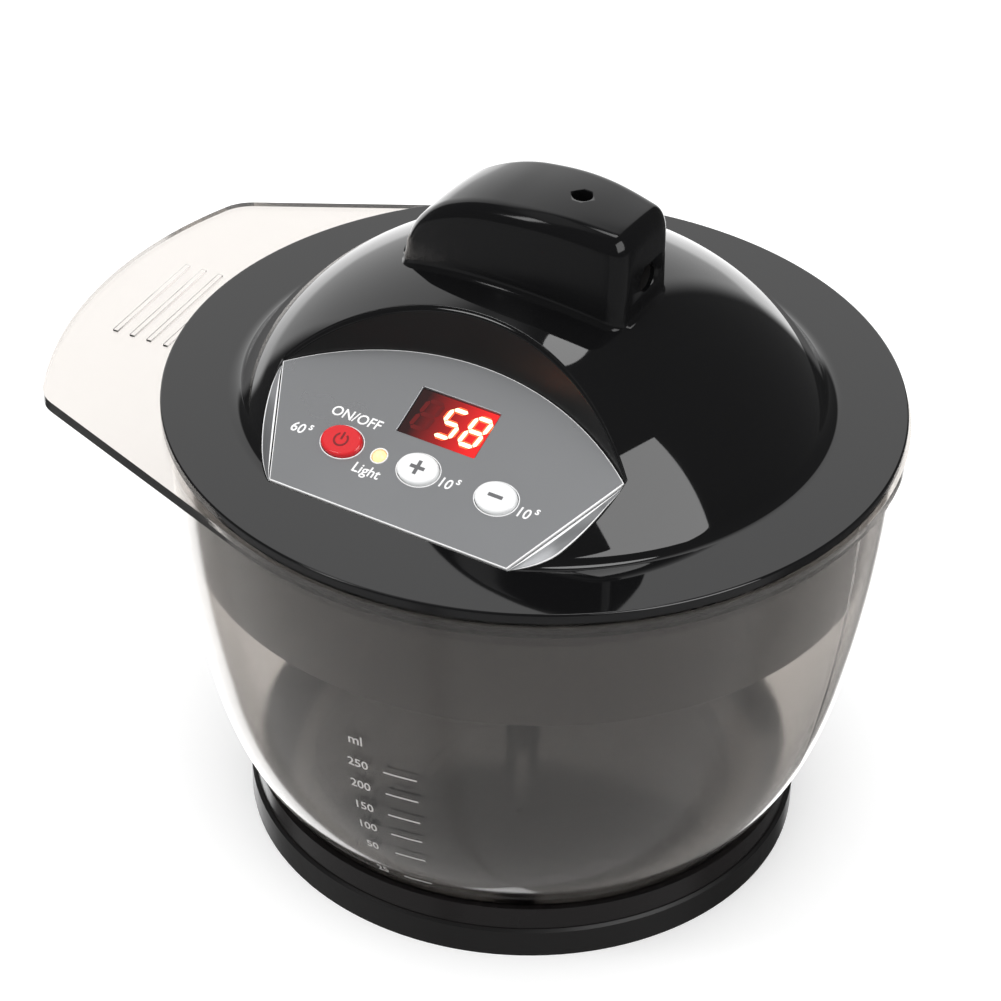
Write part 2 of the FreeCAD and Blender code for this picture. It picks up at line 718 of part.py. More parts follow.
button_places = {
    "on_off": V(-button_pitch, button_reach, 0),
    "plus": V(0, button_reach, 0),
    "minus": V(button_pitch, button_reach, 0),
}
led_spot = V(led_place, button_reach, 0)
flange_low = lid_under - panel_flange_thickness
housing = below_panel(panel_block(0, flange_low, above_dome), 0)
flange_outline = panel_outline(panel_flange, flange_low, panel_side_spread)
housing = fused(housing, flange_outline.extrude(V(0, 0, panel_flange_thickness)))
housing = housing.cut(below_panel(panel_prism(-panel_wall, flange_low - past, above_dome), -panel_plate))
boss_spots = [V(side * board_boss_place, board_boss_reach, 0) for side in (-1, 1)]
bosses = [sloped(rod(board_boss_radius, board_top, -panel_plate + let_in, spot)) for spot in boss_spots]
housing = fused(housing, *bosses)
openings = [slab(window_width, window_height, window_reach, -2 * panel_plate, panel_plate)]
openings.append(rod(led_radius + led_gap, -2 * panel_plate, panel_plate, led_spot))
for place in button_places.values():
    openings.append(oval(button_width + 2 * button_gap, button_height + 2 * button_gap,
                         -2 * panel_plate, panel_plate, place))
for spot in boss_spots:
    openings.append(rod(small_screw_radius + seat_gap, board_top - past,
                        board_top + board_screw_grip + tip_room, spot))
for opening in openings:
    housing = housing.cut(sloped(opening))
export("panel_housing", housing)

window_pane = slab(window_width - 2 * window_gap, window_height - 2 * window_gap, window_reach,
                   -panel_plate, -window_sink)
window_rim = slab(window_width + 2 * window_lip, window_height + 2 * window_lip, window_reach,
                  -panel_plate - window_lip_thickness, -panel_plate)
export("display_window", sloped(fused(window_pane, window_rim)))
display_face = -panel_plate - window_lip_thickness - window_gap
export("display_module", sloped(slab(display_width, display_height, window_reach, board_top, display_face)))

board = panel_prism(-panel_wall - board_gap, drum_under, above_dome)
keep = sloped(block(V(-lid_radius, board_start, board_low), V(lid_radius, 2 * panel_reach, board_top)))
board = board.common(keep)
for spot in boss_spots:
    board = board.cut(sloped(rod(small_screw_radius + screw_slack, board_low - past, board_top + past, spot)))
export("control_board", board)
board_screws = [sloped(screw(small_screw_radius, small_head_radius, small_head_height,
                             board_low - seat_gap, board_top + board_screw_grip, spot)) for spot in boss_spots]
export("board_screws", Part.makeCompound(board_screws))

led_body = rod(led_radius, board_top, -led_radius / 2, led_spot)
led_tip = Part.makeSphere(led_radius, V(led_spot.x, led_spot.y, -led_radius / 2))
export("indicator_light", sloped(fused(led_body, led_tip)))

lip_high = -panel_plate - button_lip_drop
lip_low = lip_high - button_lip_thickness
stem_low = lip_low - stem_length
switch_high = board_top + switch_height
for name, place in button_places.items():
    cap = oval(button_width, button_height, lip_high, button_rise, place)
    crown = [e for e in cap.Edges if e.BoundBox.ZMin > button_rise - 0.01]
    cap = cap.makeFillet(button_round, crown)
    lip = oval(button_width + 2 * button_lip, button_height + 2 * button_lip, lip_low, lip_high, place)
    stem = rod(stem_radius, stem_low, lip_low, place)
    export(name + "_button", sloped(fused(cap, lip, stem)))
    case = slab(switch_size, switch_size, place.y, board_top, switch_high, place.x)
    plunger = rod(switch_plunger_radius, switch_high, switch_high + switch_plunger_height, place)
    export(name + "_switch", sloped(fused(case, plunger)))


# ---------------------------------------------------------------- gears
def involute(angle):
    return math.tan(angle) - angle


def gear(teeth, low, high, at, tooth_at):
    """Spur gear with involute teeth, one of them centred on the angle tooth_at."""
    pitch = gear_module * teeth / 2
    slope = math.radians(pressure_angle)
    base = pitch * math.cos(slope)
    tip = pitch + gear_module * tooth_addendum
    root = pitch - gear_module * tooth_dedendum
    half = math.pi / (2 * teeth) - tooth_backlash / (2 * pitch)
    start = max(base, root)
    flank = []
    for i in range(5):
        radius = start + (tip - start) * i / 4
        turn = half + involute(slope) - involute(math.acos(min(1.0, base / radius)))
        flank.append((radius, turn))
    if root < base:
        flank.insert(0, (root, flank[0][1]))
    points = []
    for tooth in range(teeth):
        middle = tooth_at + 2 * math.pi * tooth / teeth
        for radius, turn in flank:
            points.append(V(radius * math.cos(middle - turn), radius * math.sin(middle - turn), low) + at)
        for radius, turn in reversed(flank):
            points.append(V(radius * math.cos(middle + turn), radius * math.sin(middle + turn), low) + at)
    face = Part.Face(Part.makePolygon(points + points[:1]))
    return face.extrude(V(0, 0, high - low))


def gap_at(teeth, angle):
    """Where a tooth stands when a gap faces the angle."""
    return angle + math.pi / teeth


shaft_high = plate_high + tip_room
shaft_low = collar_low - paddle_hub_gap - paddle_socket_depth + tip_room
hub_low = boss_high + bush_flange_thickness + gear_end_gap
hub_high = plate_low - gear_end_gap
output_hub = rod(shaft_radius + gear_hub_wall, hub_low, hub_high)
output_gear = fused(gear(output_teeth, gear_low, gear_high, ORIGIN, idler_angle), output_hub)
export("output_gear", output_gear.cut(rod(shaft_radius + seat_gap, hub_low - past, plate_low)))
export("output_shaft", rod(shaft_radius, shaft_low, shaft_high))

small_phase = gap_at(idler_small_teeth, idler_angle + math.pi)
idler_gear = fused(
    gear(idler_small_teeth, gear_low, idler_low + let_in, IDLER, small_phase),
    gear(idler_teeth, idler_low, idler_high, IDLER, mesh_angle),
    rod(2 * pin_radius, idler_high, hub_high, IDLER),
)
export("idler_gear", idler_gear.cut(rod(pin_radius + running_gap, gear_low - past, plate_low, IDLER)))
export("idler_pin", rod(pin_radius, drum_inside, plate_high, IDLER))

pinion_phase = gap_at(pinion_teeth, mesh_angle + math.pi)
pinion_low = idler_low - tip_room
pinion = gear(pinion_teeth, pinion_low, hub_high, MOTOR, pinion_phase)
export("motor_pinion", pinion.cut(rod(motor_shaft_radius + seat_gap, pinion_low - past, plate_low, MOTOR)))
motor_high = plate_high + motor_length
export("motor_shaft", rod(motor_shaft_radius, pinion_low, motor_high - motor_shaft_end, MOTOR))

motor = rod(motor_radius, plate_high, motor_high, MOTOR)
motor = fused(motor, rod(motor_collar_radius, motor_high, motor_high + motor_collar_height, MOTOR))
motor_bore_end = motor_high - motor_shaft_end + tip_room
motor = motor.cut(rod(motor_shaft_radius + running_gap, plate_high - past, motor_bore_end, MOTOR))
motor_screw_spots = []
for side in (-1, 1):
    angle = math.radians(motor_direction) + side * math.pi / 2
    spot = MOTOR + V(math.cos(angle), math.sin(angle), 0) * motor_screw_place
    motor_screw_spots.append(spot)
    motor = motor.cut(rod(small_screw_radius + seat_gap, plate_high - past,
                          plate_high + motor_screw_grip + tip_room, spot))
export("motor", motor)
motor_screws = [screw(small_screw_radius, small_head_radius, small_head_height, plate_low - seat_gap,
                      plate_high + motor_screw_grip, spot) for spot in motor_screw_spots]
export("motor_screws", Part.makeCompound(motor_screws))

plate_left = min(MOTOR.x - motor_radius, min(x for x, y in post_places) - post_radius) - gear_plate_margin / 2
plate_right = max(x for x, y in post_places) + post_radius + gear_plate_margin / 2
plate_front = min(y for x, y in post_places) - post_radius - gear_plate_margin / 2
plate_back = max(y for x, y in post_places) + post_radius
plate = block(V(plate_left, plate_front, plate_low), V(plate_right, plate_back, plate_high))
upright = [e for e in plate.Edges if abs(e.BoundBox.ZLength - gear_plate) < 0.01]
plate = plate.makeFillet(post_radius, upright)
plate_holes = [(shaft_radius + running_gap, ORIGIN), (pin_radius + seat_gap, IDLER), (motor_collar_radius, MOTOR)]
plate_holes += [(small_screw_radius + screw_slack, spot) for spot in motor_screw_spots]
plate_holes += [(small_screw_radius + screw_slack, V(x, y, 0)) for x, y in post_places]
for radius, spot in plate_holes:
    plate = plate.cut(rod(radius, plate_low - past, plate_high + past, spot))
export("gear_plate", plate)
plate_screws = [screw(small_screw_radius, small_head_radius, small_head_height, plate_high + seat_gap,
                      plate_screw_tip, V(x, y, 0)) for x, y in post_places]
export("plate_screws", Part.makeCompound(plate_screws))


# ---------------------------------------------------------------- battery bay
cell_centre = drum_inside + contact_plate + cell_radius
tray_top = cell_centre + (cell_layers - 1) * cell_pitch + cell_radius + contact_plate
tray_low = V(-bay_half - battery_wall, bay_front - battery_wall, drum_inside)
tray_high = V(bay_half + battery_wall, bay_back + battery_wall, tray_top + battery_wall)
tray_room = block(V(-bay_half, bay_front, drum_inside - past), V(bay_half, bay_back, tray_top))
export("battery_tray", block(tray_low, tray_high).cut(tray_room))

contacts = []
for i in range(cell_columns * cell_layers):
    y = bay_front + cell_gap + cell_radius + (i % cell_columns) * cell_pitch
    z = cell_centre + (i // cell_columns) * cell_pitch
    turn = 1 if i % 2 == 0 else -1
    start = V(-turn * (bay_half - contact_space), y, z)
    cell = Part.makeCylinder(cell_radius, cell_length, start, V(turn, 0, 0))
    nub = Part.makeCylinder(cell_nub_radius, cell_nub_length, start + V(turn * cell_length, 0, 0), V(turn, 0, 0))
    export("battery_%d" % (i + 1), fused(cell, nub))
    half = contact_size / 2
    for x in (-bay_half, bay_half - contact_plate):
        contacts.append(block(V(x, y - half, z - half), V(x + contact_plate, y + half, z + half)))
    # the flat end of each cell rests on a pressed cone
    cone = Part.makeCone(contact_cone_foot, contact_cone_tip, contact_space - contact_plate - seat_gap,
                         V(-turn * (bay_half - contact_plate), y, z), V(turn, 0, 0))
    contacts.append(cone)
export("battery_contacts", Part.makeCompound(contacts))

cover_rim = block(cover_low + V(cover_gap, cover_gap, 0), cover_high - V(cover_gap, cover_gap, seat_gap))
cover_plug = block(V(-bay_half + cover_gap, bay_front + cover_gap, drum_under),
                   V(bay_half - cover_gap, bay_back - cover_gap, drum_inside))
export("battery_cover", fused(cover_rim, cover_plug))


# ---------------------------------------------------------------- stirring paddle
paddle_low = bowl_inside + paddle_floor_gap
socket_high = collar_low - paddle_hub_gap
socket_low = socket_high - paddle_socket_depth
frame = block(V(-paddle_half_width, -paddle_thickness / 2, paddle_low),
              V(paddle_half_width, paddle_thickness / 2, paddle_top))
frame = frame.makeFillet(paddle_corner, [e for e in frame.Edges if e.BoundBox.YLength > paddle_thickness - 0.01])
for side in (-1, 1):
    inner = spindle_radius if side > 0 else -paddle_half_width + paddle_bar
    outer = paddle_half_width - paddle_bar if side > 0 else -spindle_radius
    opening = block(V(inner, -paddle_thickness, paddle_low + paddle_bar),
                    V(outer, paddle_thickness, paddle_top - paddle_bar))
    rounds = [e for e in opening.Edges if e.BoundBox.YLength > paddle_thickness]
    frame = frame.cut(opening.makeFillet(paddle_corner - paddle_bar, rounds))
spindle = rod(spindle_radius, paddle_low, socket_low - let_in)
hub = rod(paddle_hub_radius, socket_low - paddle_thickness, socket_high)
paddle = turned_to(fused(frame, spindle, hub), paddle_direction)
paddle = paddle.cut(rod(shaft_radius + seat_gap, socket_low, socket_high + past))
export("stirring_paddle", paddle)
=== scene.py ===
import bpy
import bmesh
import math
from mathutils import Matrix, Vector


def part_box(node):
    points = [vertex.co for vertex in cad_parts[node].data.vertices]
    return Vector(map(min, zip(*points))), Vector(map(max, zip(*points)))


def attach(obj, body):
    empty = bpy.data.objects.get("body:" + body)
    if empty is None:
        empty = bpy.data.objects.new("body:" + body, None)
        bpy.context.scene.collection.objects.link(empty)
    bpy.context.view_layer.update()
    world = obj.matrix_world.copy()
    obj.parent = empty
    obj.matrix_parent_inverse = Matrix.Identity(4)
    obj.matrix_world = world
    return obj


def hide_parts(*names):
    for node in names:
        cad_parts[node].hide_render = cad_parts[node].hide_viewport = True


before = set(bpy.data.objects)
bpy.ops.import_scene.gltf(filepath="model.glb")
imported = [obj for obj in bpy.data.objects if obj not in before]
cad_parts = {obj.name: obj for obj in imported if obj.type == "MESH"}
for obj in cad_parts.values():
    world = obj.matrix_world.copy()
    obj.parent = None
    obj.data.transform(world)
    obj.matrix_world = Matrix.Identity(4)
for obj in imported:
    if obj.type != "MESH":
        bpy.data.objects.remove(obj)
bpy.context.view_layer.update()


# ---------------------------------------------------------------- Bowl, handle and graduation
# One moulding in smoke-tinted plastic: bowl, rim and flat side handle with low grip ribs.
# It comes polished from the mould, and a scale of fine raised marks and numbers runs up one side.
mm = 0.001


def moulded_group():
    """Surface of a moulded part: drifting tone and gloss, and a faint ripple, in the part's own space."""
    group = bpy.data.node_groups.new("moulded_surface", "ShaderNodeTree")
    face = group.interface
    face.new_socket("Colour", in_out="INPUT", socket_type="NodeSocketColor")
    for name, value in (("Tone Drift", 0.06), ("Rough Low", 0.1), ("Rough High", 0.2),
                        ("Grain Scale", 90.0), ("Ripple", 0.00001)):
        socket = face.new_socket(name, in_out="INPUT", socket_type="NodeSocketFloat")
        socket.default_value = value
    face.new_socket("Colour", in_out="OUTPUT", socket_type="NodeSocketColor")
    face.new_socket("Roughness", in_out="OUTPUT", socket_type="NodeSocketFloat")
    face.new_socket("Normal", in_out="OUTPUT", socket_type="NodeSocketVector")
    nodes, links = group.nodes, group.links
    given, result = nodes.new("NodeGroupInput"), nodes.new("NodeGroupOutput")
    place = nodes.new("ShaderNodeTexCoord")
    broad = nodes.new("ShaderNodeTexNoise")
    broad.inputs["Scale"].default_value = 38.0
    broad.inputs["Detail"].default_value = 4.0
    links.new(place.outputs["Object"], broad.inputs["Vector"])
    drift = nodes.new("ShaderNodeMapRange")
    drift.inputs["From Min"].default_value = 0.3
    drift.inputs["From Max"].default_value = 0.7
    links.new(broad.outputs["Fac"], drift.inputs["Value"])
    links.new(given.outputs["Rough Low"], drift.inputs["To Min"])
    links.new(given.outputs["Rough High"], drift.inputs["To Max"])
    links.new(drift.outputs["Result"], result.inputs["Roughness"])
    shade = nodes.new("ShaderNodeMath")
    shade.operation = "MULTIPLY_ADD"
    links.new(broad.outputs["Fac"], shade.inputs[0])
    links.new(given.outputs["Tone Drift"], shade.inputs[1])
    shade.inputs[2].default_value = 1.0
    tone = nodes.new("ShaderNodeVectorMath")
    tone.operation = "SCALE"
    links.new(given.outputs["Colour"], tone.inputs[0])
    links.new(shade.outputs[0], tone.inputs["Scale"])
    links.new(tone.outputs["Vector"], result.inputs["Colour"])
    fine = nodes.new("ShaderNodeTexNoise")
    fine.inputs["Detail"].default_value = 2.0
    links.new(place.outputs["Object"], fine.inputs["Vector"])
    links.new(given.outputs["Grain Scale"], fine.inputs["Scale"])
    bump = nodes.new("ShaderNodeBump")
    links.new(fine.outputs["Fac"], bump.inputs["Height"])
    links.new(given.outputs["Ripple"], bump.inputs["Distance"])
    links.new(bump.outputs["Normal"], result.inputs["Normal"])
    return group


moulded = moulded_group()


def moulding(name, colour, rough=(0.1, 0.2), ripple=0.00001, grain=90.0, drift=0.06, metallic=0.0):
    """A material whose tone, gloss and ripple come from the moulded surface group."""
    material = bpy.data.materials.new(name)
    material.use_nodes = True
    nodes, links = material.node_tree.nodes, material.node_tree.links
    shader = nodes["Principled BSDF"]
    surface = nodes.new("ShaderNodeGroup")
    surface.node_tree = moulded
    surface.inputs["Colour"].default_value = (*colour, 1)
    surface.inputs["Tone Drift"].default_value = drift
    surface.inputs["Rough Low"].default_value = rough[0]
    surface.inputs["Rough High"].default_value = rough[1]
    surface.inputs["Grain Scale"].default_value = grain
    surface.inputs["Ripple"].default_value = ripple
    links.new(surface.outputs["Colour"], shader.inputs["Base Color"])
    links.new(surface.outputs["Roughness"], shader.inputs["Roughness"])
    links.new(surface.outputs["Normal"], shader.inputs["Normal"])
    shader.inputs["Metallic"].default_value = metallic
    shader.inputs["IOR"].default_value = 1.49
    return material


def shader_of(material):
    """The material's own shader, on which the values that are the same all over it are set."""
    return material.node_tree.nodes["Principled BSDF"]


def dress(node, material):
    """Give a carried-over part its material."""
    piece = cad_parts[node]
    piece.data.materials.clear()
    piece.data.materials.append(material)
    return piece


smoke = moulding("smoke_plastic", (0.70, 0.668, 0.638), (0.05, 0.1), 0.000004, 60.0, 0.0)
shader_of(smoke).inputs["Transmission Weight"].default_value = 1.0
bowl = dress("bowl", smoke)


def add_piece(name, points, faces, body, materials, face_materials=None, smooth=True):
    """A mesh piece that rides on a body and takes the materials it is given."""
    mesh = bpy.data.meshes.new(name)
    mesh.from_pydata([tuple(p) for p in points], [], faces)
    for material in materials:
        mesh.materials.append(material)
    for face in mesh.polygons:
        face.use_smooth = smooth
        if face_materials:
            face.material_index = face_materials[face.index]
    mesh.update()
    piece = bpy.data.objects.new(name, mesh)
    bpy.context.scene.collection.objects.link(piece)
    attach(piece, body)
    return piece


def made_mesh(piece):
    """The mesh that an object's curve or modifiers make."""
    return bpy.data.meshes.new_from_object(piece.evaluated_get(bpy.context.evaluated_depsgraph_get()))


stroke_growth = 0.014


def lettering(texts, size, slant=0.0):
    """Flat outlines of several words, each as (words, across, up, size factor), in one mesh's lists."""
    points, faces = [], []
    for words, across, up, factor in texts:
        curve = bpy.data.curves.new("words", "FONT")
        curve.body = words
        curve.size = size * factor
        curve.shear = slant
        curve.offset = size * stroke_growth
        curve.align_x = "CENTER"
        curve.align_y = "CENTER"
        curve.resolution_u = 3
        writer = bpy.data.objects.new("words", curve)
        bpy.context.scene.collection.objects.link(writer)
        flat = made_mesh(writer)
        first = len(points)
        points += [Vector((v.co.x + across, v.co.y + up, 0)) for v in flat.vertices]
        faces += [[first + i for i in face.vertices] for face in flat.polygons]
        bpy.data.objects.remove(writer)
        bpy.data.curves.remove(curve)
        bpy.data.meshes.remove(flat)
    return points, faces


outside_reach = 0.12


def on_bowl(turn, height, lift):
    """The point on the bowl's outside at an angle and a height, lifted off by a hair."""
    away = Vector((math.sin(turn), -math.cos(turn), 0))
    start = away * outside_reach + Vector((0, 0, height))
    hit, place, normal, index = bowl.ray_cast(start, -away)
    return place + normal * lift


scale_marks = ((57.8, "250"), (51.0, "200"), (44.0, "150"), (37.2, "100"), (30.0, "50"), (19.5, "25"))
scale_start, scale_length = math.radians(7.0), 7.7 * mm
mark_width, mark_lift = 0.45 * mm, 0.05 * mm
number_across, number_size, unit_up, unit_factor = -6.2 * mm, 3.4 * mm, 65.0 * mm, 1.1
bowl_reach = 0.077
mark_steps = 8
scale_points, scale_faces = [], []
for height, number in scale_marks:
    for step in range(mark_steps + 1):
        turn = scale_start + step / mark_steps * scale_length / bowl_reach
        for side in (-1, 1):
            scale_points.append(on_bowl(turn, height * mm + side * mark_width / 2, mark_lift))
    last = len(scale_points)
    scale_faces += [(i, i + 2, i + 3, i + 1) for i in range(last - 2 * (mark_steps + 1), last - 2, 2)]
numbers = [(number, number_across, height * mm, 1.0) for height, number in scale_marks]
numbers.append(("ml", number_across, unit_up, unit_factor))
flat_points, flat_faces = lettering(numbers, number_size)
first = len(scale_points)
for point in flat_points:
    scale_points.append(on_bowl(scale_start + point.x / bowl_reach, point.y, mark_lift))
scale_faces += [[first + i for i in face] for face in flat_faces]
scale_ink = moulding("scale_ink", (0.36, 0.35, 0.34), (0.25, 0.4), 0.00001)
add_piece("graduation", scale_points, scale_faces, "bowl", [scale_ink])

# ---------------------------------------------------------------- Base cup and foot ring
# The bowl is pressed into a black moulded cup, and a rubber ring under it keeps it from sliding.
# Both are duller than the lid and mirror the room only faintly.
faint_mirror = 0.25
cup_plastic = moulding("cup_plastic", (0.009, 0.008, 0.008), (0.12, 0.22), 0.00001)
shader_of(cup_plastic).inputs["Specular IOR Level"].default_value = faint_mirror
dress("base_cup", cup_plastic)
foot_rubber = moulding("foot_rubber", (0.008, 0.0075, 0.0075), (0.3, 0.42), 0.00003, 400.0)
shader_of(foot_rubber).inputs["Specular IOR Level"].default_value = faint_mirror
dress("foot_ring", foot_rubber)

# ---------------------------------------------------------------- Lid shell
# Dome and flat ring, moulded in one from black ABS and polished to a piano gloss. A sloped opening
# at the front takes the control panel, and its edge turns down in a small round lip.
lid_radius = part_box("lid_shell")[1][0]
lid_top = 110.0 * mm
lid_under = 107.6 * mm
crown_radius, crown_middle = 85.857 * mm, 57.943 * mm
shoulder_radius = 62.724 * mm
shoulder_place = Vector((11.5665 * mm, 77.977 * mm))
lid_round = 4.5 * mm
round_reach = shoulder_radius + lid_round
round_rise = lid_top + lid_round - shoulder_place.y
round_place = Vector((shoulder_place.x + math.sqrt(round_reach ** 2 - round_rise ** 2),
                      lid_top + lid_round))
crown_half_turn = math.radians(30)
join_radius = crown_radius * math.sin(crown_half_turn)
round_start = shoulder_place.x + (round_place.x - shoulder_place.x) * shoulder_radius / round_reach
panel_front = -61.09 * mm


def lid_surface(x, y):
    """Height and outward direction of the lid's outside above a place in plan."""
    radius = math.hypot(x, y)
    if y < panel_front:
        # the ring stays flat in front of the panel
        lean, height = 0.0, lid_top
    elif radius < join_radius:
        lean = radius / crown_radius
        height = crown_middle + math.sqrt(crown_radius ** 2 - radius ** 2)
    elif radius < round_start:
        lean = (radius - shoulder_place.x) / shoulder_radius
        height = shoulder_place.y + math.sqrt(shoulder_radius ** 2 - (radius - shoulder_place.x) ** 2)
    elif radius < round_place.x:
        lean = (round_place.x - radius) / lid_round
        height = round_place.y - math.sqrt(lid_round ** 2 - (round_place.x - radius) ** 2)
    else:
        lean, height = 0.0, lid_top
    out = Vector((x, y, 0)).normalized() if radius > 1e-9 else Vector((0, 0, 0))
    return height, (out * lean + Vector((0, 0, math.sqrt(1 - lean ** 2)))).normalized()


panel_tilt = math.radians(25.0)
panel_foot = Vector((0, panel_front, 110.3 * mm))
panel_up = Vector((0, math.cos(panel_tilt), math.sin(panel_tilt)))
panel_out = Vector((0, -math.sin(panel_tilt), math.cos(panel_tilt)))
panel_front_half, panel_side_half = 29.3 * mm, 42.4 * mm
panel_side_reach, panel_reach = 27.5 * mm, 42.3 * mm
panel_bulge, bulge_power = 2.9 * mm, 0.8


def on_panel(across, up, out=0.0):
    """A place given on the panel's sloped face, across it, up it and out from it."""
    return panel_foot + Vector((across, 0, 0)) + panel_up * up + panel_out * out


def side_place(share, side):
    """A place on the panel's side edge, and the direction straight out from it in plan."""
    across = panel_front_half + (panel_side_half - panel_front_half) * share
    place = on_panel(side * across, panel_side_reach * share)
    run = on_panel(side * panel_side_half, panel_side_reach) - on_panel(side * panel_front_half, 0)
    outward = Vector((side * run.y, -side * run.x, 0)).normalized()
    return place, outward


def side_bulge(share):
    """How far the sloped side of the panel runs out, nothing at its two ends."""
    return panel_bulge * math.sin(math.pi * share) ** bulge_power


side_y = on_panel(0, panel_side_reach).y
top_y = on_panel(0, panel_reach).y
arch_radius = (panel_side_half ** 2 + (top_y - side_y) ** 2) / (2 * (top_y - side_y))
arch_half = math.asin(panel_side_half / arch_radius)
opening_gap = 0.35 * mm
arch_gap = 2.2 * opening_gap
side_steps, front_steps, arch_steps = 56, 60, 240
opening = []
for step in range(front_steps):
    opening.append(Vector((panel_front_half * (2 * step / front_steps - 1), panel_foot.y - opening_gap, 0)))
for step in range(side_steps):
    place, outward = side_place(step / side_steps, 1)
    opening.append(place + outward * (side_bulge(step / side_steps) + opening_gap))
for step in range(arch_steps):
    turn = arch_half * (1 - 2 * step / arch_steps)
    reach = arch_radius + arch_gap
    opening.append(Vector((reach * math.sin(turn), top_y - arch_radius + reach * math.cos(turn), 0)))
for step in range(side_steps):
    place, outward = side_place(1 - step / side_steps, -1)
    opening.append(place + outward * (side_bulge(1 - step / side_steps) + opening_gap))

# rows of the skin run out from the opening's middle: the recess wall, the lip, the outside, the rim
heart = Vector((0, -42.0 * mm, 0))
wall_inset, wall_depth = 0.6 * mm, 2.5 * mm
lip_rows = ((0.55, 1.5), (0.5, 0.75), (0.3, 0.7), (0.25, 0.35), (0.15, 0.12))
surface_steps = 150
edge_round, edge_ease, rim_land = 0.5 * mm, 0.2 * mm, 8 * mm
edge_turns = (22.5, 45, 67.5, 90)
lid_points, lid_normals = [], []
for spot in opening:
    flat = Vector((spot.x, spot.y, 0))
    away = (flat - heart).normalized()
    lead = flat.dot(away)
    reach = -lead + math.sqrt(lead ** 2 - flat.dot(flat) + (lid_radius - edge_round) ** 2)
    row = []
    foot = flat - away * wall_inset
    wall_foot = panel_foot.z + (foot.y - panel_front) * math.tan(panel_tilt) - wall_depth
    row.append((Vector((foot.x, foot.y, wall_foot)), None))
    for inward, drop in lip_rows:
        point = flat - away * inward * mm
        height = lid_surface(flat.x, flat.y)[0]
        row.append((Vector((point.x, point.y, height - drop * mm)), None))
    for step in range(surface_steps + 1):
        point = flat + away * reach * step / surface_steps
        height, normal = lid_surface(point.x, point.y)
        row.append((Vector((point.x, point.y, height)), normal))
    edge = Vector((point.x, point.y, 0)).normalized()
    for turn in edge_turns:
        lean = Vector((0, 0, 1)) * math.cos(math.radians(turn)) + edge * math.sin(math.radians(turn))
        middle = edge * (lid_radius - edge_round) + Vector((0, 0, lid_top - edge_round))
        row.append((middle + lean * edge_round, lean))
    row.append((edge * lid_radius + Vector((0, 0, lid_under + edge_ease)), edge))
    row.append((edge * (lid_radius - edge_ease) + Vector((0, 0, lid_under)), None))
    row.append((edge * (lid_radius - rim_land) + Vector((0, 0, lid_under)), None))
    row_length = len(row)
    lid_points += [point for point, normal in row]
    lid_normals += [normal for point, normal in row]
lid_faces, lid_finish = [], []
count = len(opening)
for i in range(count):
    this, following = i * row_length, (i + 1) % count * row_length
    for j in range(row_length - 1):
        lid_faces.append((this + j, this + j + 1, following + j + 1, following + j))
        lid_finish.append(1 if j == 0 else 0)
black_gloss = moulding("black_gloss", (0.0045, 0.0045, 0.0048), (0.02, 0.045), 0.0000015, 70.0)
recess_black = moulding("recess_black", (0.006, 0.006, 0.006), (0.3, 0.4), 0.00001, 300.0)
lid = add_piece("lid_skin", lid_points, lid_faces, "lid", [black_gloss, recess_black],
                lid_finish)
lid.data.normals_split_custom_set_from_vertices([normal or Vector((0, 0, 0)) for normal in lid_normals])
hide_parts("lid_shell")

# ---------------------------------------------------------------- Grip on top of the lid
# A hollow loaf moulded in black gloss plastic and screwed down from above. Its right end holds the
# power socket, and its foot flares out where it meets the dome.
knob_low, knob_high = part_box("knob_shell")
end_lip = 1.3 * mm
knob_tail = knob_low[0]
knob_end = knob_high[0] - end_lip
knob_crown = knob_high[2]
knob_half, knob_end_half = 13.2 * mm, 10.2 * mm
tail_round, end_round, top_round = 6.5 * mm, 3.6 * mm, 4.2 * mm
crown_line = ((0.0, 24.0), (1.2, 19.0), (4.2, 13.2), (9.5, 7.6), (15.7, 4.0), (22.5, 1.7), (29.5, 0.6),
              (36.0, 0.05), (42.0, 0.1), (48.0, 0.7), (58.1, 2.2))


def knob_line(x):
    """Depth of the grip's top below its crown, smooth through the points of the crown line."""
    along = (x - knob_tail) / mm
    for i in range(len(crown_line) - 1):
        (x0, d0), (x1, d1) = crown_line[i], crown_line[i + 1]
        if along <= x1 or i == len(crown_line) - 2:
            before = crown_line[max(i - 1, 0)]
            after = crown_line[min(i + 2, len(crown_line) - 1)]
            start_slope = (d1 - before[1]) / (x1 - before[0])
            end_slope = (after[1] - d0) / (after[0] - x0)
            width = x1 - x0
            t = (along - x0) / width
            depth = ((2 * t ** 3 - 3 * t ** 2 + 1) * d0 + (t ** 3 - 2 * t ** 2 + t) * width * start_slope
                     + (-2 * t ** 3 + 3 * t ** 2) * d1 + (t ** 3 - t ** 2) * width * end_slope)
            return depth * mm


def knob_section(x):
    """Half width and top of the grip where a plane across it meets it, with its ends rounded off."""
    barrel = knob_half - (knob_half - knob_end_half) * ((x - (knob_tail + knob_end) / 2)
                                                        / ((knob_end - knob_tail) / 2)) ** 2
    half, top = barrel, knob_crown - knob_line(x)
    from_tail, from_end = x - knob_tail, knob_end - x
    if from_tail < tail_round:
        half -= tail_round - math.sqrt(tail_round ** 2 - (tail_round - from_tail) ** 2)
    if from_end < end_round:
        half -= end_round - math.sqrt(end_round ** 2 - (end_round - from_end) ** 2)
        top -= end_round - math.sqrt(end_round ** 2 - (end_round - from_end) ** 2)
    return half, top


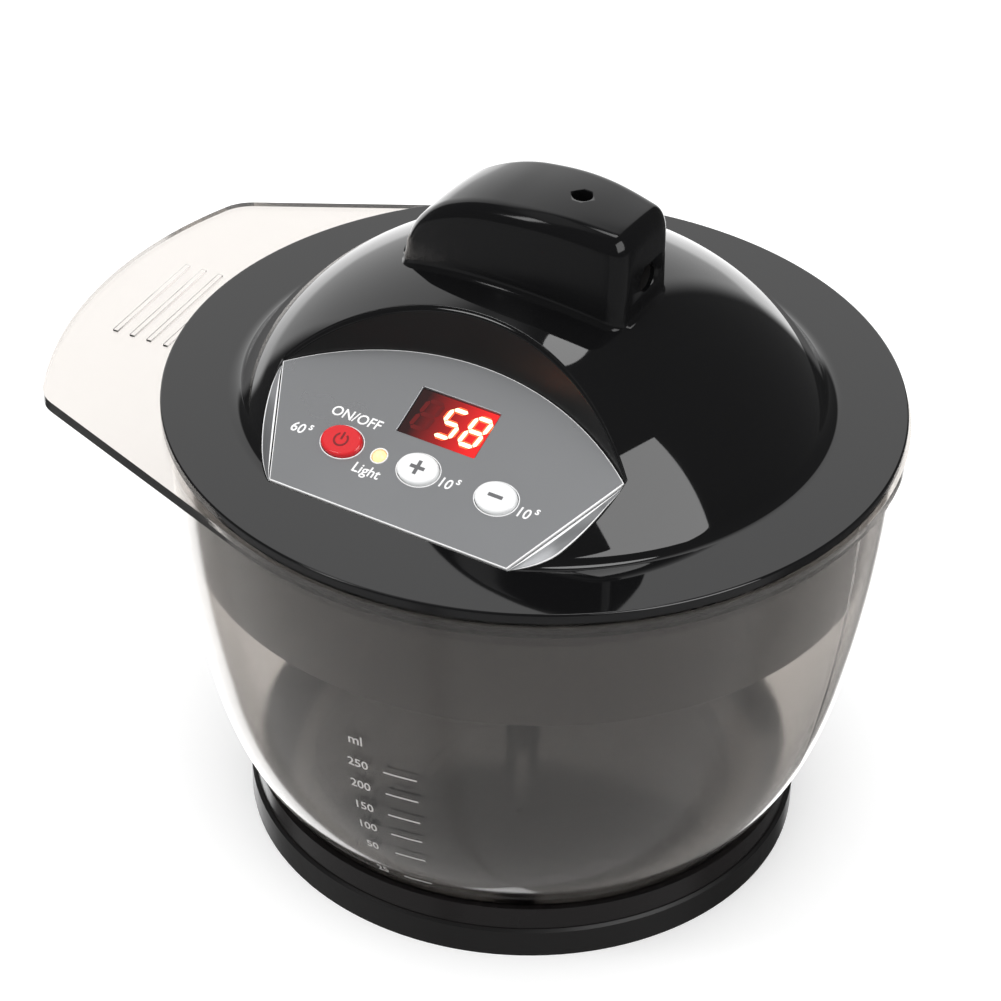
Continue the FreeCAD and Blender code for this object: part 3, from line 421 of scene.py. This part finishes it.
stations = []
round_steps, middle_steps = 12, 44
middle_length = knob_end - end_round - knob_tail - tail_round
for step in range(round_steps + 1):
    stations.append(knob_tail + tail_round * (1 - math.cos(math.radians(90 * step / round_steps))))
for step in range(1, middle_steps):
    stations.append(knob_tail + tail_round + middle_length * step / middle_steps)
for step in range(round_steps + 1):
    stations.append(knob_end - end_round * (1 - math.sin(math.radians(90 * step / round_steps))))
foot_rows = ((-1.5, 0.9), (0.0, 0.85), (0.25, 0.5), (0.6, 0.22), (1.1, 0.06), (1.7, 0.0))
wall_steps, corner_steps, top_steps = 8, 10, 12
wall_lean, top_crown, corner_share = 0.5 * mm, 0.35 * mm, 0.92
knob_points, knob_faces = [], []
for number, x in enumerate(stations):
    half, top = knob_section(x)
    corner = min(top_round, half * corner_share)
    end_pull = (number == len(stations) - 1) - (number == 0)
    side = []
    for rise, flare in foot_rows:
        y = half + flare * mm + wall_lean
        side.append((x + end_pull * flare * mm, y, lid_surface(x, y)[0] + rise * mm))
    foot_top = side[-1][2]
    for step in range(1, wall_steps + 1):
        share = step / wall_steps
        side.append((x, half + wall_lean * (1 - share), foot_top + (top - corner - foot_top) * share))
    for step in range(1, corner_steps + 1):
        turn = math.radians(90 * step / corner_steps)
        side.append((x, half - corner + corner * math.cos(turn), top - corner + corner * math.sin(turn)))
    inner = half - corner
    top_row = []
    for step in range(1, top_steps):
        y = inner * (1 - 2 * step / top_steps)
        top_row.append((x, y, top + top_crown * (1 - (y / inner) ** 2)))
    mirrored = [(px, -py, pz) for px, py, pz in reversed(side)]
    section = side + top_row + mirrored
    knob_points += section
    size = len(section)
for i in range(len(stations) - 1):
    for j in range(size):
        k = (j + 1) % size
        knob_faces.append((i * size + j, (i + 1) * size + j, (i + 1) * size + k, i * size + k))
for base, flip in ((0, True), ((len(stations) - 1) * size, False)):
    for j in range((size - 1) // 2):
        face = (base + j, base + size - 1 - j, base + size - 2 - j, base + j + 1)
        if len(set(face)) < 4:
            face = (base + j, base + size - 1 - j, base + j + 1)
        knob_faces.append(face if flip else face[::-1])
grip_gloss = moulding("grip_gloss", (0.0045, 0.0045, 0.0048), (0.07, 0.13), 0.00001)
grip_mirror = 0.27
shader_of(grip_gloss).inputs["Specular IOR Level"].default_value = grip_mirror
knob = add_piece("grip_skin", knob_points, knob_faces, "lid", [grip_gloss])
shape = bmesh.new()
shape.from_mesh(knob.data)
bmesh.ops.recalc_face_normals(shape, faces=shape.faces)
shape.to_mesh(knob.data)
shape.free()
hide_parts("knob_shell")


def bored(piece, start, direction, radius, length, turns=48):
    """Cut a round hole into a piece, from a start point along a direction."""
    cutter_mesh = bpy.data.meshes.new("drill")
    shape = bmesh.new()
    bmesh.ops.create_cone(shape, cap_ends=True, segments=turns, radius1=radius, radius2=radius,
                          depth=length)
    shape.to_mesh(cutter_mesh)
    shape.free()
    cutter = bpy.data.objects.new("drill", cutter_mesh)
    bpy.context.scene.collection.objects.link(cutter)
    turn = direction.to_track_quat("Z", "Y").to_matrix().to_4x4()
    cutter.matrix_world = Matrix.Translation(start + direction * length / 2) @ turn
    cut = piece.modifiers.new("bore", "BOOLEAN")
    cut.operation = "DIFFERENCE"
    cut.object = cutter
    cut.solver = "EXACT"
    bpy.context.view_layer.update()
    cut_mesh = made_mesh(piece)
    piece.modifiers.remove(cut)
    piece.data = cut_mesh
    bpy.data.objects.remove(cutter)


socket_height, socket_radius, socket_length = 147.5 * mm, 3.1 * mm, 12 * mm
screw_x, screw_radius, screw_length = 9.9 * mm, 2.3 * mm, 10.5 * mm
drill_lead = 2 * mm
bored(knob, Vector((knob_end + drill_lead, 0, socket_height)), Vector((-1, 0, 0)), socket_radius,
      socket_length)
bored(knob, Vector((screw_x, 0, knob_crown + drill_lead)), Vector((0, 0, -1)), screw_radius, screw_length)

# ---------------------------------------------------------------- Drum, seals and the works inside
# The drum is matte black and hangs under the lid with a rubber seal round it. It holds the motor, its
# gears on a steel plate, the cells and the boards, and the paddle hangs below it.
drum_plastic = moulding("drum_plastic", (0.014, 0.0125, 0.012), (0.35, 0.5), 0.00002)
for node in ("drum_housing", "battery_cover", "battery_tray", "power_inlet", "on_off_switch",
             "plus_switch", "minus_switch", "display_module"):
    dress(node, drum_plastic)
for node in ("lid_seal", "shaft_seal"):
    dress(node, foot_rubber)
paddle_plastic = moulding("paddle_plastic", (0.012, 0.011, 0.011), (0.2, 0.3), 0.00001)
dress("stirring_paddle", paddle_plastic)
acetal = moulding("acetal", (0.78, 0.77, 0.72), (0.25, 0.35), 0.00001)
for node in ("idler_gear", "output_gear"):
    dress(node, acetal)
steel = moulding("plain_steel", (0.55, 0.55, 0.55), (0.2, 0.35), 0.00001, metallic=1.0)
for node in ("knob_screw", "housing_screws", "board_screws", "plate_screws", "motor_screws", "output_shaft",
             "motor_shaft", "idler_pin", "gear_plate", "motor", "battery_contacts"):
    dress(node, steel)
brass = moulding("turned_brass", (0.7, 0.5, 0.2), (0.2, 0.3), 0.00001, metallic=1.0)
for node in ("motor_pinion", "shaft_bush"):
    dress(node, brass)
cell_jacket = moulding("cell_jacket", (0.05, 0.05, 0.06), (0.2, 0.3), 0.00001)
for number in range(1, 5):
    dress("battery_%d" % number, cell_jacket)
board_green = moulding("board_green", (0.02, 0.12, 0.04), (0.25, 0.4), 0.00001, 200.0, 0.3)
dress("control_board", board_green)


# ---------------------------------------------------------------- Control panel
# A moulded plate painted satin silver, with its edges painted near white as a painted highlight, holes for
# the keys, the light and the display, and two sloped sides that run out to the dome past a thin joint, whose
# dark is painted shade.
flat_normal = 0.98


def flat_plate(name, outlines, thickness, bevel, place, body, materials):
    """A plate cut to closed outlines, the inner ones as holes, with rounded edges; its face is up."""
    curve = bpy.data.curves.new(name, "CURVE")
    curve.dimensions = "2D"
    curve.fill_mode = "BOTH"
    curve.extrude = thickness / 2 - bevel
    curve.bevel_depth = bevel
    curve.bevel_resolution = 2
    curve.offset = -bevel
    for outline in outlines:
        spline = curve.splines.new("POLY")
        spline.points.add(len(outline) - 1)
        for point, (x, y) in zip(spline.points, outline):
            point.co = (x, y, 0, 1)
        spline.use_cyclic_u = True
    cutter = bpy.data.objects.new(name + "_outline", curve)
    bpy.context.scene.collection.objects.link(cutter)
    mesh = made_mesh(cutter)
    bpy.data.objects.remove(cutter)
    points = [place(v.co.x, v.co.y, v.co.z - thickness / 2) for v in mesh.vertices]
    faces = [tuple(face.vertices) for face in mesh.polygons]
    edge = [0 if abs(face.normal.z) > flat_normal else len(materials) - 1 for face in mesh.polygons]
    bpy.data.meshes.remove(mesh)
    return add_piece(name, points, faces, body, materials, edge, smooth=False)


def ellipse(width, height, across, up, turns=64):
    """An oval outline round a place on the panel."""
    points = []
    for step in range(turns):
        turn = 2 * math.pi * step / turns
        points.append((across + width / 2 * math.cos(turn), up + height / 2 * math.sin(turn)))
    return points


def rounded(width, height, across, up, corner, turns=6):
    """A rectangle with rounded corners."""
    points = []
    for quarter, (sx, sy) in enumerate(((1, 1), (-1, 1), (-1, -1), (1, -1))):
        for step in range(turns + 1):
            turn = math.radians(90 * (quarter + step / turns))
            points.append((across + sx * (width / 2 - corner) + corner * math.cos(turn),
                           up + sy * (height / 2 - corner) + corner * math.sin(turn)))
    return points


silver = moulding("silver_paint", (0.34, 0.345, 0.355), (0.26, 0.36), 0.000003, 900.0, 0.1, metallic=0.75)
# edges painted near white: a painted highlight along the plate's, the sides' and the rings' edges
edge_highlight_paint = moulding("silver_edge_painted_highlight", (0.93, 0.93, 0.93), (0.25, 0.35), 0.00001, 300.0, 0.0)
# near black for the gaps under and beside the plate's edge: painted shade
painted_gap_shade = moulding("painted_gap_shade", (0.004, 0.004, 0.004), (0.5, 0.6), 0.00001)
window_up, window_width, window_height = 27.1 * mm, 19.3 * mm, 11.9 * mm
key_up, key_pitch = 14.1 * mm, 19.1 * mm
key_width, key_height = 9.9 * mm, 7.9 * mm
light_across, light_radius = -9.8 * mm, 1.75 * mm
plate_thickness, plate_bevel, window_corner = 1.6 * mm, 0.24 * mm, 0.3 * mm
plate_steps = 80
plate_outline = [(-panel_front_half, 0), (panel_front_half, 0), (panel_side_half, panel_side_reach)]
for step in range(1, plate_steps):
    turn = arch_half * (1 - 2 * step / plate_steps)
    back = top_y - arch_radius + arch_radius * math.cos(turn) - panel_foot.y
    plate_outline.append((arch_radius * math.sin(turn), back / math.cos(panel_tilt)))
plate_outline.append((-panel_side_half, panel_side_reach))
holes = [rounded(window_width, window_height, 0, window_up, window_corner),
         ellipse(2 * light_radius, 2 * light_radius, light_across, key_up)]
holes += [ellipse(key_width, key_height, side * key_pitch, key_up) for side in (-1, 0, 1)]
# the plate's rounded edges take the near-white painted highlight
plate = flat_plate("panel_plate", [plate_outline] + holes, plate_thickness, plate_bevel, on_panel, "lid",
                   [silver, edge_highlight_paint])
# the window's edge keeps the plate's silver and gets no painted highlight
for face in plate.data.polygons:
    spot = face.center - panel_foot
    beside_window = abs(spot.x) < window_width / 2 + mm
    if beside_window and abs(spot.dot(panel_up) - window_up) < window_height / 2 + mm:
        face.material_index = 0

side_points, side_faces, side_finish = [], [], []
side_rows = 9
strip_steps = 64
side_start, start_share, side_drop, least_fall = 0.3 * mm, 0.25, 0.55 * mm, 0.02 * mm
tuck_in, tuck_down, joint_share, joint_down, hem_down = 1.2 * mm, 2.2 * mm, 0.3, 1.4 * mm, 1.5 * mm
swell_share = 0.25 * 0.35
for side in (-1, 1):
    first = len(side_points)
    for step in range(strip_steps + 1):
        share = step / strip_steps
        place, outward = side_place(share, side)
        bulge = side_bulge(share)
        start = min(side_start, bulge * start_share)
        end = place + outward * bulge
        end.z = lid_surface(end.x, end.y)[0] - least_fall
        top = place + outward * start - Vector((0, 0, side_drop))
        end.z = min(end.z, top.z - least_fall)
        side_points.append(place - outward * tuck_in - Vector((0, 0, tuck_down)))
        side_points.append(place + outward * start * joint_share - Vector((0, 0, joint_down)))
        for number in range(side_rows):
            part = number / (side_rows - 1)
            point = top.lerp(end, part)
            point += outward * swell_share * bulge * math.sin(math.pi * part)
            side_points.append(point)
        side_points.append(end - Vector((0, 0, hem_down)))
    length = side_rows + 3
    for i in range(strip_steps):
        for j in range(length - 1):
            base = first + i * length + j
            face = (base, base + 1, base + length + 1, base + length)
            side_faces.append(face if side < 0 else face[::-1])
            # finish 1, the strip's top and end rows, is a painted highlight; finish 2, the tuck and the hem,
            # is painted shade
            side_finish.append(2 if j < 2 or j == length - 2 else (1 if j in (2, length - 3) else 0))
sides = add_piece("panel_sides", side_points, side_faces, "lid",
                  [silver, edge_highlight_paint, painted_gap_shade], side_finish)
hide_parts("panel_housing")
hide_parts("panel_housing")

# a near-black sheet under the plate's edge, painted shade for the gap there: each row is its growth across
# and up, its shift up, its depth
well_rows = ((0.99, 0.985, 0.3 * mm, -1.4 * mm), (1.02, 1.02, 0.0, -3.4 * mm))
well_points, well_faces = [], []
for x, y in plate_outline:
    for grow_x, grow_y, shift, depth in well_rows:
        well_points.append(on_panel(x * grow_x, y * grow_y + shift, depth))
total = len(plate_outline)
for i in range(total):
    j = (i + 1) % total
    well_faces.append((2 * i, 2 * j, 2 * j + 1, 2 * i + 1))
add_piece("panel_gap_shade", well_points, well_faces, "lid", [painted_gap_shade])

# ---------------------------------------------------------------- Display, keys and their marks
# A dark red filter over three figures made of lit bars, white push keys with pressed signs, a red
# power key, a small warm light beside it, and fine white lettering printed on the plate.
window = bpy.data.materials.new("red_window")
window.use_nodes = True
glow_nodes, glow_links = window.node_tree.nodes, window.node_tree.links
glow_shader = glow_nodes["Principled BSDF"]
glow_place = glow_nodes.new("ShaderNodeTexCoord")
glow_split = glow_nodes.new("ShaderNodeSeparateXYZ")
glow_spread = glow_nodes.new("ShaderNodeMapRange")
# the filter's colour and glow run from near black at the left, where the figure is unlit, to bright red at
# the right, where the figures are lit: painted glow on the filter
glow_left, glow_right, glow_middle = -7.5 * mm, 9.0 * mm, 0.45
glow_spread.inputs["From Min"].default_value = glow_left
glow_spread.inputs["From Max"].default_value = glow_right
glow_colour = glow_nodes.new("ShaderNodeValToRGB")
glow_colour.color_ramp.elements[0].color = (0.012, 0.0004, 0.0004, 1)
glow_colour.color_ramp.elements[1].color = (0.62, 0.008, 0.008, 1)
middle_red = glow_colour.color_ramp.elements.new(glow_middle)
middle_red.color = (0.20, 0.002, 0.002, 1)
glow_links.new(glow_place.outputs["Object"], glow_split.inputs["Vector"])
glow_links.new(glow_split.outputs["X"], glow_spread.inputs["Value"])
glow_links.new(glow_spread.outputs["Result"], glow_colour.inputs["Fac"])
glow_links.new(glow_colour.outputs["Color"], glow_shader.inputs["Base Color"])
glow_links.new(glow_colour.outputs["Color"], glow_shader.inputs["Emission Color"])
glow_shader.inputs["Emission Strength"].default_value = 0.6
glow_shader.inputs["Roughness"].default_value = 0.12
dress("display_window", window)


def lit(name, colour, strength):
    """A glowing surface: its own colour sent out as light."""
    material = moulding(name, colour, (0.2, 0.3), 0.0)
    shader = shader_of(material)
    shader.inputs["Emission Color"].default_value = (*colour, 1)
    shader.inputs["Emission Strength"].default_value = strength
    return material


figure_width, figure_height, figure_pitch = 4.7 * mm, 8.2 * mm, 6.0 * mm
figure_slant, figure_shift = 0.14, 0.6 * mm
bar_half, bar_gap, halo_half = 0.52 * mm, 0.13 * mm, 0.85 * mm
bar_ends = {"a": ((0, 2), (1, 2)), "b": ((1, 2), (1, 1)), "c": ((1, 1), (1, 0)), "d": ((0, 0), (1, 0)),
            "e": ((0, 0), (0, 1)), "f": ((0, 1), (0, 2)), "g": ((0, 1), (1, 1))}
unlit_places = ((-1, "abcdefg"),)
lit_places = ((0, "acdfg"), (1, "abcdefg"))


def bar(start, end, half, depth):
    """One six-sided bar of a figure, leaned with it."""
    inner_width, inner_height = figure_width - 2 * bar_half, figure_height - 2 * bar_half
    start, end = [Vector(((x - 0.5) * inner_width, (y - 1) * inner_height / 2)) for x, y in (start, end)]
    run = (end - start).normalized()
    cross = Vector((-run.y, run.x))
    start, end = start + run * bar_gap, end - run * bar_gap
    outline = (start, start + run * half + cross * half, end - run * half + cross * half, end,
               end - run * half - cross * half, start + run * half - cross * half)
    return [Vector((p.x + figure_slant * p.y, p.y, depth)) for p in outline]


def figures_piece(name, material, half, depth, chosen):
    """The chosen bars of the figures, each figure as (place, bars), at one depth under the window."""
    points, faces = [], []
    for place, bars in chosen:
        for letter in bars:
            first = len(points)
            for p in bar(*bar_ends[letter], half, depth):
                points.append(on_panel(p.x + place * figure_pitch + figure_shift, p.y + window_up, p.z))
            faces.append(tuple(range(first, first + 6)))
    return add_piece(name, points, faces, "lid", [material], smooth=False)


window_face = -0.4 * mm
unlit_lift, glow_lift, lit_lift, lit_share = 0.03 * mm, 0.04 * mm, 0.06 * mm, 0.92
# the unlit figure's bars send out a faint red glow of their own: painted light
figures_piece("figures_unlit", lit("unlit_bar_painted_glow", (0.10, 0.002, 0.002), 0.25), bar_half,
              window_face + unlit_lift, unlit_places)
figures_piece("figures_glow", lit("bar_glow", (1.0, 0.10, 0.03), 0.9), halo_half,
              window_face + glow_lift, lit_places)
figures_piece("figures_lit", lit("lit_bar", (1.0, 0.86, 0.50), 1.15), bar_half * lit_share,
              window_face + lit_lift, lit_places)

label_paint = moulding("label_paint", (0.86, 0.86, 0.86), (0.35, 0.5), 0.00001)
letter_size, letter_slant, letter_lift = 3.4 * mm, 0.1, 0.03 * mm
words = [("ON/OFF", -19.4 * mm, 20.6 * mm, 1.0), ("60", -30.2 * mm, 13.7 * mm, 1.0),
         ("s", -27.4 * mm, 15.0 * mm, 0.8), ("Light", -10.6 * mm, 9.7 * mm, 1.0),
         ("10", 6.9 * mm, 13.3 * mm, 1.0), ("s", 9.6 * mm, 14.9 * mm, 0.8),
         ("10", 26.0 * mm, 13.1 * mm, 1.0), ("s", 28.8 * mm, 14.7 * mm, 0.8)]
word_points, word_faces = lettering(words, letter_size, letter_slant)
add_piece("panel_lettering", [on_panel(p.x, p.y, letter_lift) for p in word_points], word_faces, "lid",
          [label_paint], smooth=False)

white_key = moulding("white_key", (0.80, 0.81, 0.81), (0.15, 0.25), 0.000003)
for node in ("plus_button", "minus_button"):
    dress(node, white_key)
red_key = moulding("red_key", (0.62, 0.022, 0.028), (0.12, 0.2), 0.000003)
dress("on_off_button", red_key)
sign_grey = moulding("sign_grey", (0.13, 0.13, 0.135), (0.4, 0.5), 0.00001)
sign_red = moulding("sign_red", (0.20, 0.012, 0.015), (0.3, 0.4), 0.00001)
key_top, sign_lift, sign_thickness, sign_bevel = 1.2 * mm, 0.04 * mm, 0.06 * mm, 0.01 * mm


def sign(name, outlines, across, material, body):
    """A flat sign let into the top of a key."""
    def place(x, y, out):
        return on_panel(across + x, key_up + y, key_top + sign_lift + out)

    flat_plate(name, outlines, sign_thickness, sign_bevel, place, body, [material])


bar_length, bar_width, bar_corner = 3.5 * mm, 0.85 * mm, 0.15 * mm
a, b = bar_length / 2, bar_width / 2
plus = [(-a, -b), (-b, -b), (-b, -a), (b, -a), (b, -b), (a, -b),
        (a, b), (b, b), (b, a), (-b, a), (-b, b), (-a, b)]
sign("plus_sign", [plus], 0.0, sign_grey, "plus_button")
sign("minus_sign", [rounded(bar_length, bar_width, 0, 0, bar_corner)], key_pitch, sign_grey,
     "minus_button")
ring_out, ring_in, ring_steps = 1.75 * mm, 1.3 * mm, 40
stem_width, stem_length, stem_up, stem_corner = 0.5 * mm, 1.9 * mm, 0.95 * mm, 0.1 * mm
ring_gap = math.radians(34)
ring = []
for radius, way in ((ring_out, 1), (ring_in, -1)):
    for step in range(ring_steps + 1):
        share = step / ring_steps if way > 0 else 1 - step / ring_steps
        turn = math.pi / 2 + ring_gap + (2 * math.pi - 2 * ring_gap) * share
        ring.append((radius * math.cos(turn), radius * math.sin(turn)))
sign("power_sign_ring", [ring], -key_pitch, sign_red, "on_off_button")
sign("power_sign_bar", [rounded(stem_width, stem_length, 0, stem_up, stem_corner)], -key_pitch, sign_red,
     "on_off_button")


def highlight_ring(name, width, height, across, tube, material):
    """A thin ring, painted near white as a painted highlight, where a key or a light stands in the plate."""
    points, faces = [], []
    turns, sides_of_tube, stand = 72, 8, 0.35
    for step in range(turns):
        turn = 2 * math.pi * step / turns
        out = Vector((math.cos(turn) / width, math.sin(turn) / height)).normalized()
        for part in range(sides_of_tube):
            angle = 2 * math.pi * part / sides_of_tube
            x = across + width / 2 * math.cos(turn) + out.x * tube * math.cos(angle)
            y = key_up + height / 2 * math.sin(turn) + out.y * tube * math.cos(angle)
            points.append(on_panel(x, y, tube * stand + tube * math.sin(angle)))
    for i in range(turns):
        for j in range(sides_of_tube):
            k = (j + 1) % sides_of_tube
            n = (i + 1) % turns
            faces.append((i * sides_of_tube + j, n * sides_of_tube + j,
                          n * sides_of_tube + k, i * sides_of_tube + k))
    add_piece(name, points, faces, "lid", [material])


key_growth, key_tube = 0.25 * mm, 0.13 * mm
light_size, light_tube = 2 * light_radius + 0.1 * mm, 0.1 * mm
# each key and the light get a thin ring painted near white: a painted highlight
for name, side in (("on_off_highlight_ring", -1), ("plus_highlight_ring", 0), ("minus_highlight_ring", 1)):
    highlight_ring(name, key_width + key_growth, key_height + key_growth, side * key_pitch, key_tube, edge_highlight_paint)
warm_lens = lit("warm_lens", (1.0, 0.66, 0.34), 0.45)
dress("indicator_light", warm_lens)
highlight_ring("light_highlight_ring", light_size, light_size, light_across, light_tube, edge_highlight_paint)

# ---------------------------------------------------------------- Floor, light and camera
# A pale floor under soft light: a tall soft box at the right, a broad card and lit floor behind at the
# left, and a dark studio elsewhere, which the black gloss picks up.
floor_mesh = bpy.data.meshes.new("floor")
reach = 3.0
floor_mesh.from_pydata([(-reach, -reach, 0), (reach, -reach, 0), (reach, reach, 0), (-reach, reach, 0)], [],
                       [(0, 1, 2, 3)])
floor = bpy.data.objects.new("floor", floor_mesh)
bpy.context.scene.collection.objects.link(floor)
floor_paint = moulding("floor_paint", (0.95, 0.95, 0.95), (0.6, 0.7), 0.00001, 20.0, 0.0)
floor_glow = 0.22
floor_shader = shader_of(floor_paint)
floor_shader.inputs["Specular IOR Level"].default_value = 0.0
floor_shader.inputs["Emission Color"].default_value = (1, 1, 1, 1)
floor_shader.inputs["Emission Strength"].default_value = floor_glow
floor_mesh.materials.append(floor_paint)
floor.visible_glossy = False

world = bpy.data.worlds.new("studio")
bpy.context.scene.world = world
world.use_nodes = True
sky, sky_links = world.node_tree.nodes, world.node_tree.links


def sky_math(operation, first, second=None):
    """One sum in the sky's own nodes, on numbers or on other nodes' outputs."""
    node = sky.new("ShaderNodeMath")
    node.operation = operation
    for socket, value in zip(node.inputs, (first, second)):
        if isinstance(value, (int, float)):
            socket.default_value = value
        elif value is not None:
            sky_links.new(value, socket)
    return node.outputs[0]


def sky_ramp(value, low, high):
    """From 0 to 1 as an angle in degrees goes from low to high."""
    node = sky.new("ShaderNodeMapRange")
    node.interpolation_type = "SMOOTHSTEP"
    node.inputs["From Min"].default_value = math.radians(low)
    node.inputs["From Max"].default_value = math.radians(high)
    sky_links.new(value, node.inputs["Value"])
    return node.outputs["Result"]


direction = sky.new("ShaderNodeTexCoord")
parts = sky.new("ShaderNodeSeparateXYZ")
sky_links.new(direction.outputs["Generated"], parts.inputs["Vector"])
rise = sky_math("ARCSINE", parts.outputs["Z"])
# bearings are counted from straight behind the object, so that no card crosses their seam
bearing = sky_math("ARCTAN2", sky_math("MULTIPLY", parts.outputs["X"], -1.0), parts.outputs["Y"])


def sky_card(level, left, right, low, high, soft_low=3.0, soft_high=3.0, soft_side=2.0):
    """A card lit to a level, between two bearings and two heights, with soft borders."""
    across = sky_math("MULTIPLY", sky_ramp(bearing, left - soft_side, left + soft_side),
                      sky_math("SUBTRACT", 1.0, sky_ramp(bearing, right - soft_side, right + soft_side)))
    up = sky_math("MULTIPLY", sky_ramp(rise, low - soft_low, low + soft_low),
                  sky_math("SUBTRACT", 1.0, sky_ramp(rise, high - soft_high, high + soft_high)))
    return sky_math("MULTIPLY", sky_math("MULTIPLY", across, up), level)


glossy_level = 0.10
cards = [
    sky_card(1.08, 5.0, 70.0, -3.0, 49.0, 2.0, 8.0, 3.0),
    sky_card(1.8, 5.0, 74.0, -89.0, -3.0, 1.0, 2.0, 3.0),
    sky_card(0.28, 95.0, 178.0, -89.0, -6.0, 1.0, 3.0, 8.0),
    sky_card(0.28, -178.0, -70.0, -89.0, -6.0, 1.0, 3.0, 8.0),
    sky_card(0.45, 40.0, 150.0, 56.0, 84.0, 6.0, 5.0, 12.0),
]
total_level = glossy_level
for card in cards:
    total_level = sky_math("ADD", card, total_level)
path = sky.new("ShaderNodeLightPath")
plain_level = 1.08
pick = sky.new("ShaderNodeMix")
sky_links.new(path.outputs["Is Glossy Ray"], pick.inputs["Factor"])
pick.inputs["A"].default_value = plain_level
sky_links.new(total_level, pick.inputs["B"])
sky_links.new(pick.outputs["Result"], sky["Background"].inputs["Strength"])
sky["Background"].inputs["Color"].default_value = (1, 1, 1, 1)

aim = Vector((0, 0, 0.1))


def softbox(name, azimuth, elevation, distance, width, height, radiance, glossy=True, diffuse=True,
            shape="RECTANGLE"):
    """A flat light that faces the object; its radiance is that of a lit white card."""
    data = bpy.data.lights.new(name, "AREA")
    data.shape = shape
    data.size = width
    data.size_y = height
    data.energy = radiance * math.pi * width * height
    lamp = bpy.data.objects.new(name, data)
    turn, lift = math.radians(azimuth), math.radians(elevation)
    away = Vector((math.sin(turn) * math.cos(lift), -math.cos(turn) * math.cos(lift), math.sin(lift)))
    lamp.location = aim + away * distance
    lamp.rotation_euler = away.to_track_quat("Z", "Y").to_euler()
    lamp.visible_glossy = glossy
    lamp.visible_diffuse = diffuse
    lamp.visible_transmission = False
    lamp.visible_camera = False
    bpy.context.scene.collection.objects.link(lamp)


softbox("side_box", 78, 36, 1.0, 0.62, 0.78, 4.6, diffuse=False)
softbox("front_box", -37, 45, 1.0, 0.16, 0.3, 7.0)
softbox("top_box", -172, 70, 1.2, 0.22, 0.36, 4.0, diffuse=False, shape="ELLIPSE")
softbox("top_fill", 10, 75, 1.5, 1.8, 1.8, 0.6, glossy=False)

camera_data = bpy.data.cameras.new("camera")
camera_data.lens = 120.8
camera_data.sensor_width = 36.0
camera_data.clip_start = 0.01
camera = bpy.data.objects.new("camera", camera_data)
bpy.context.scene.collection.objects.link(camera)
bpy.context.scene.camera = camera
eye = Vector((0.3046, -0.5383, 0.5208))
look = Vector((-0.0060, -0.0034, 0.0792))
camera.location = eye
straight = (look - eye).to_track_quat("-Z", "Y").to_matrix()
camera.rotation_euler = (straight @ Matrix.Rotation(math.radians(1.59), 3, "Z")).to_euler()
bpy.context.scene.view_settings.view_transform = "Standard"
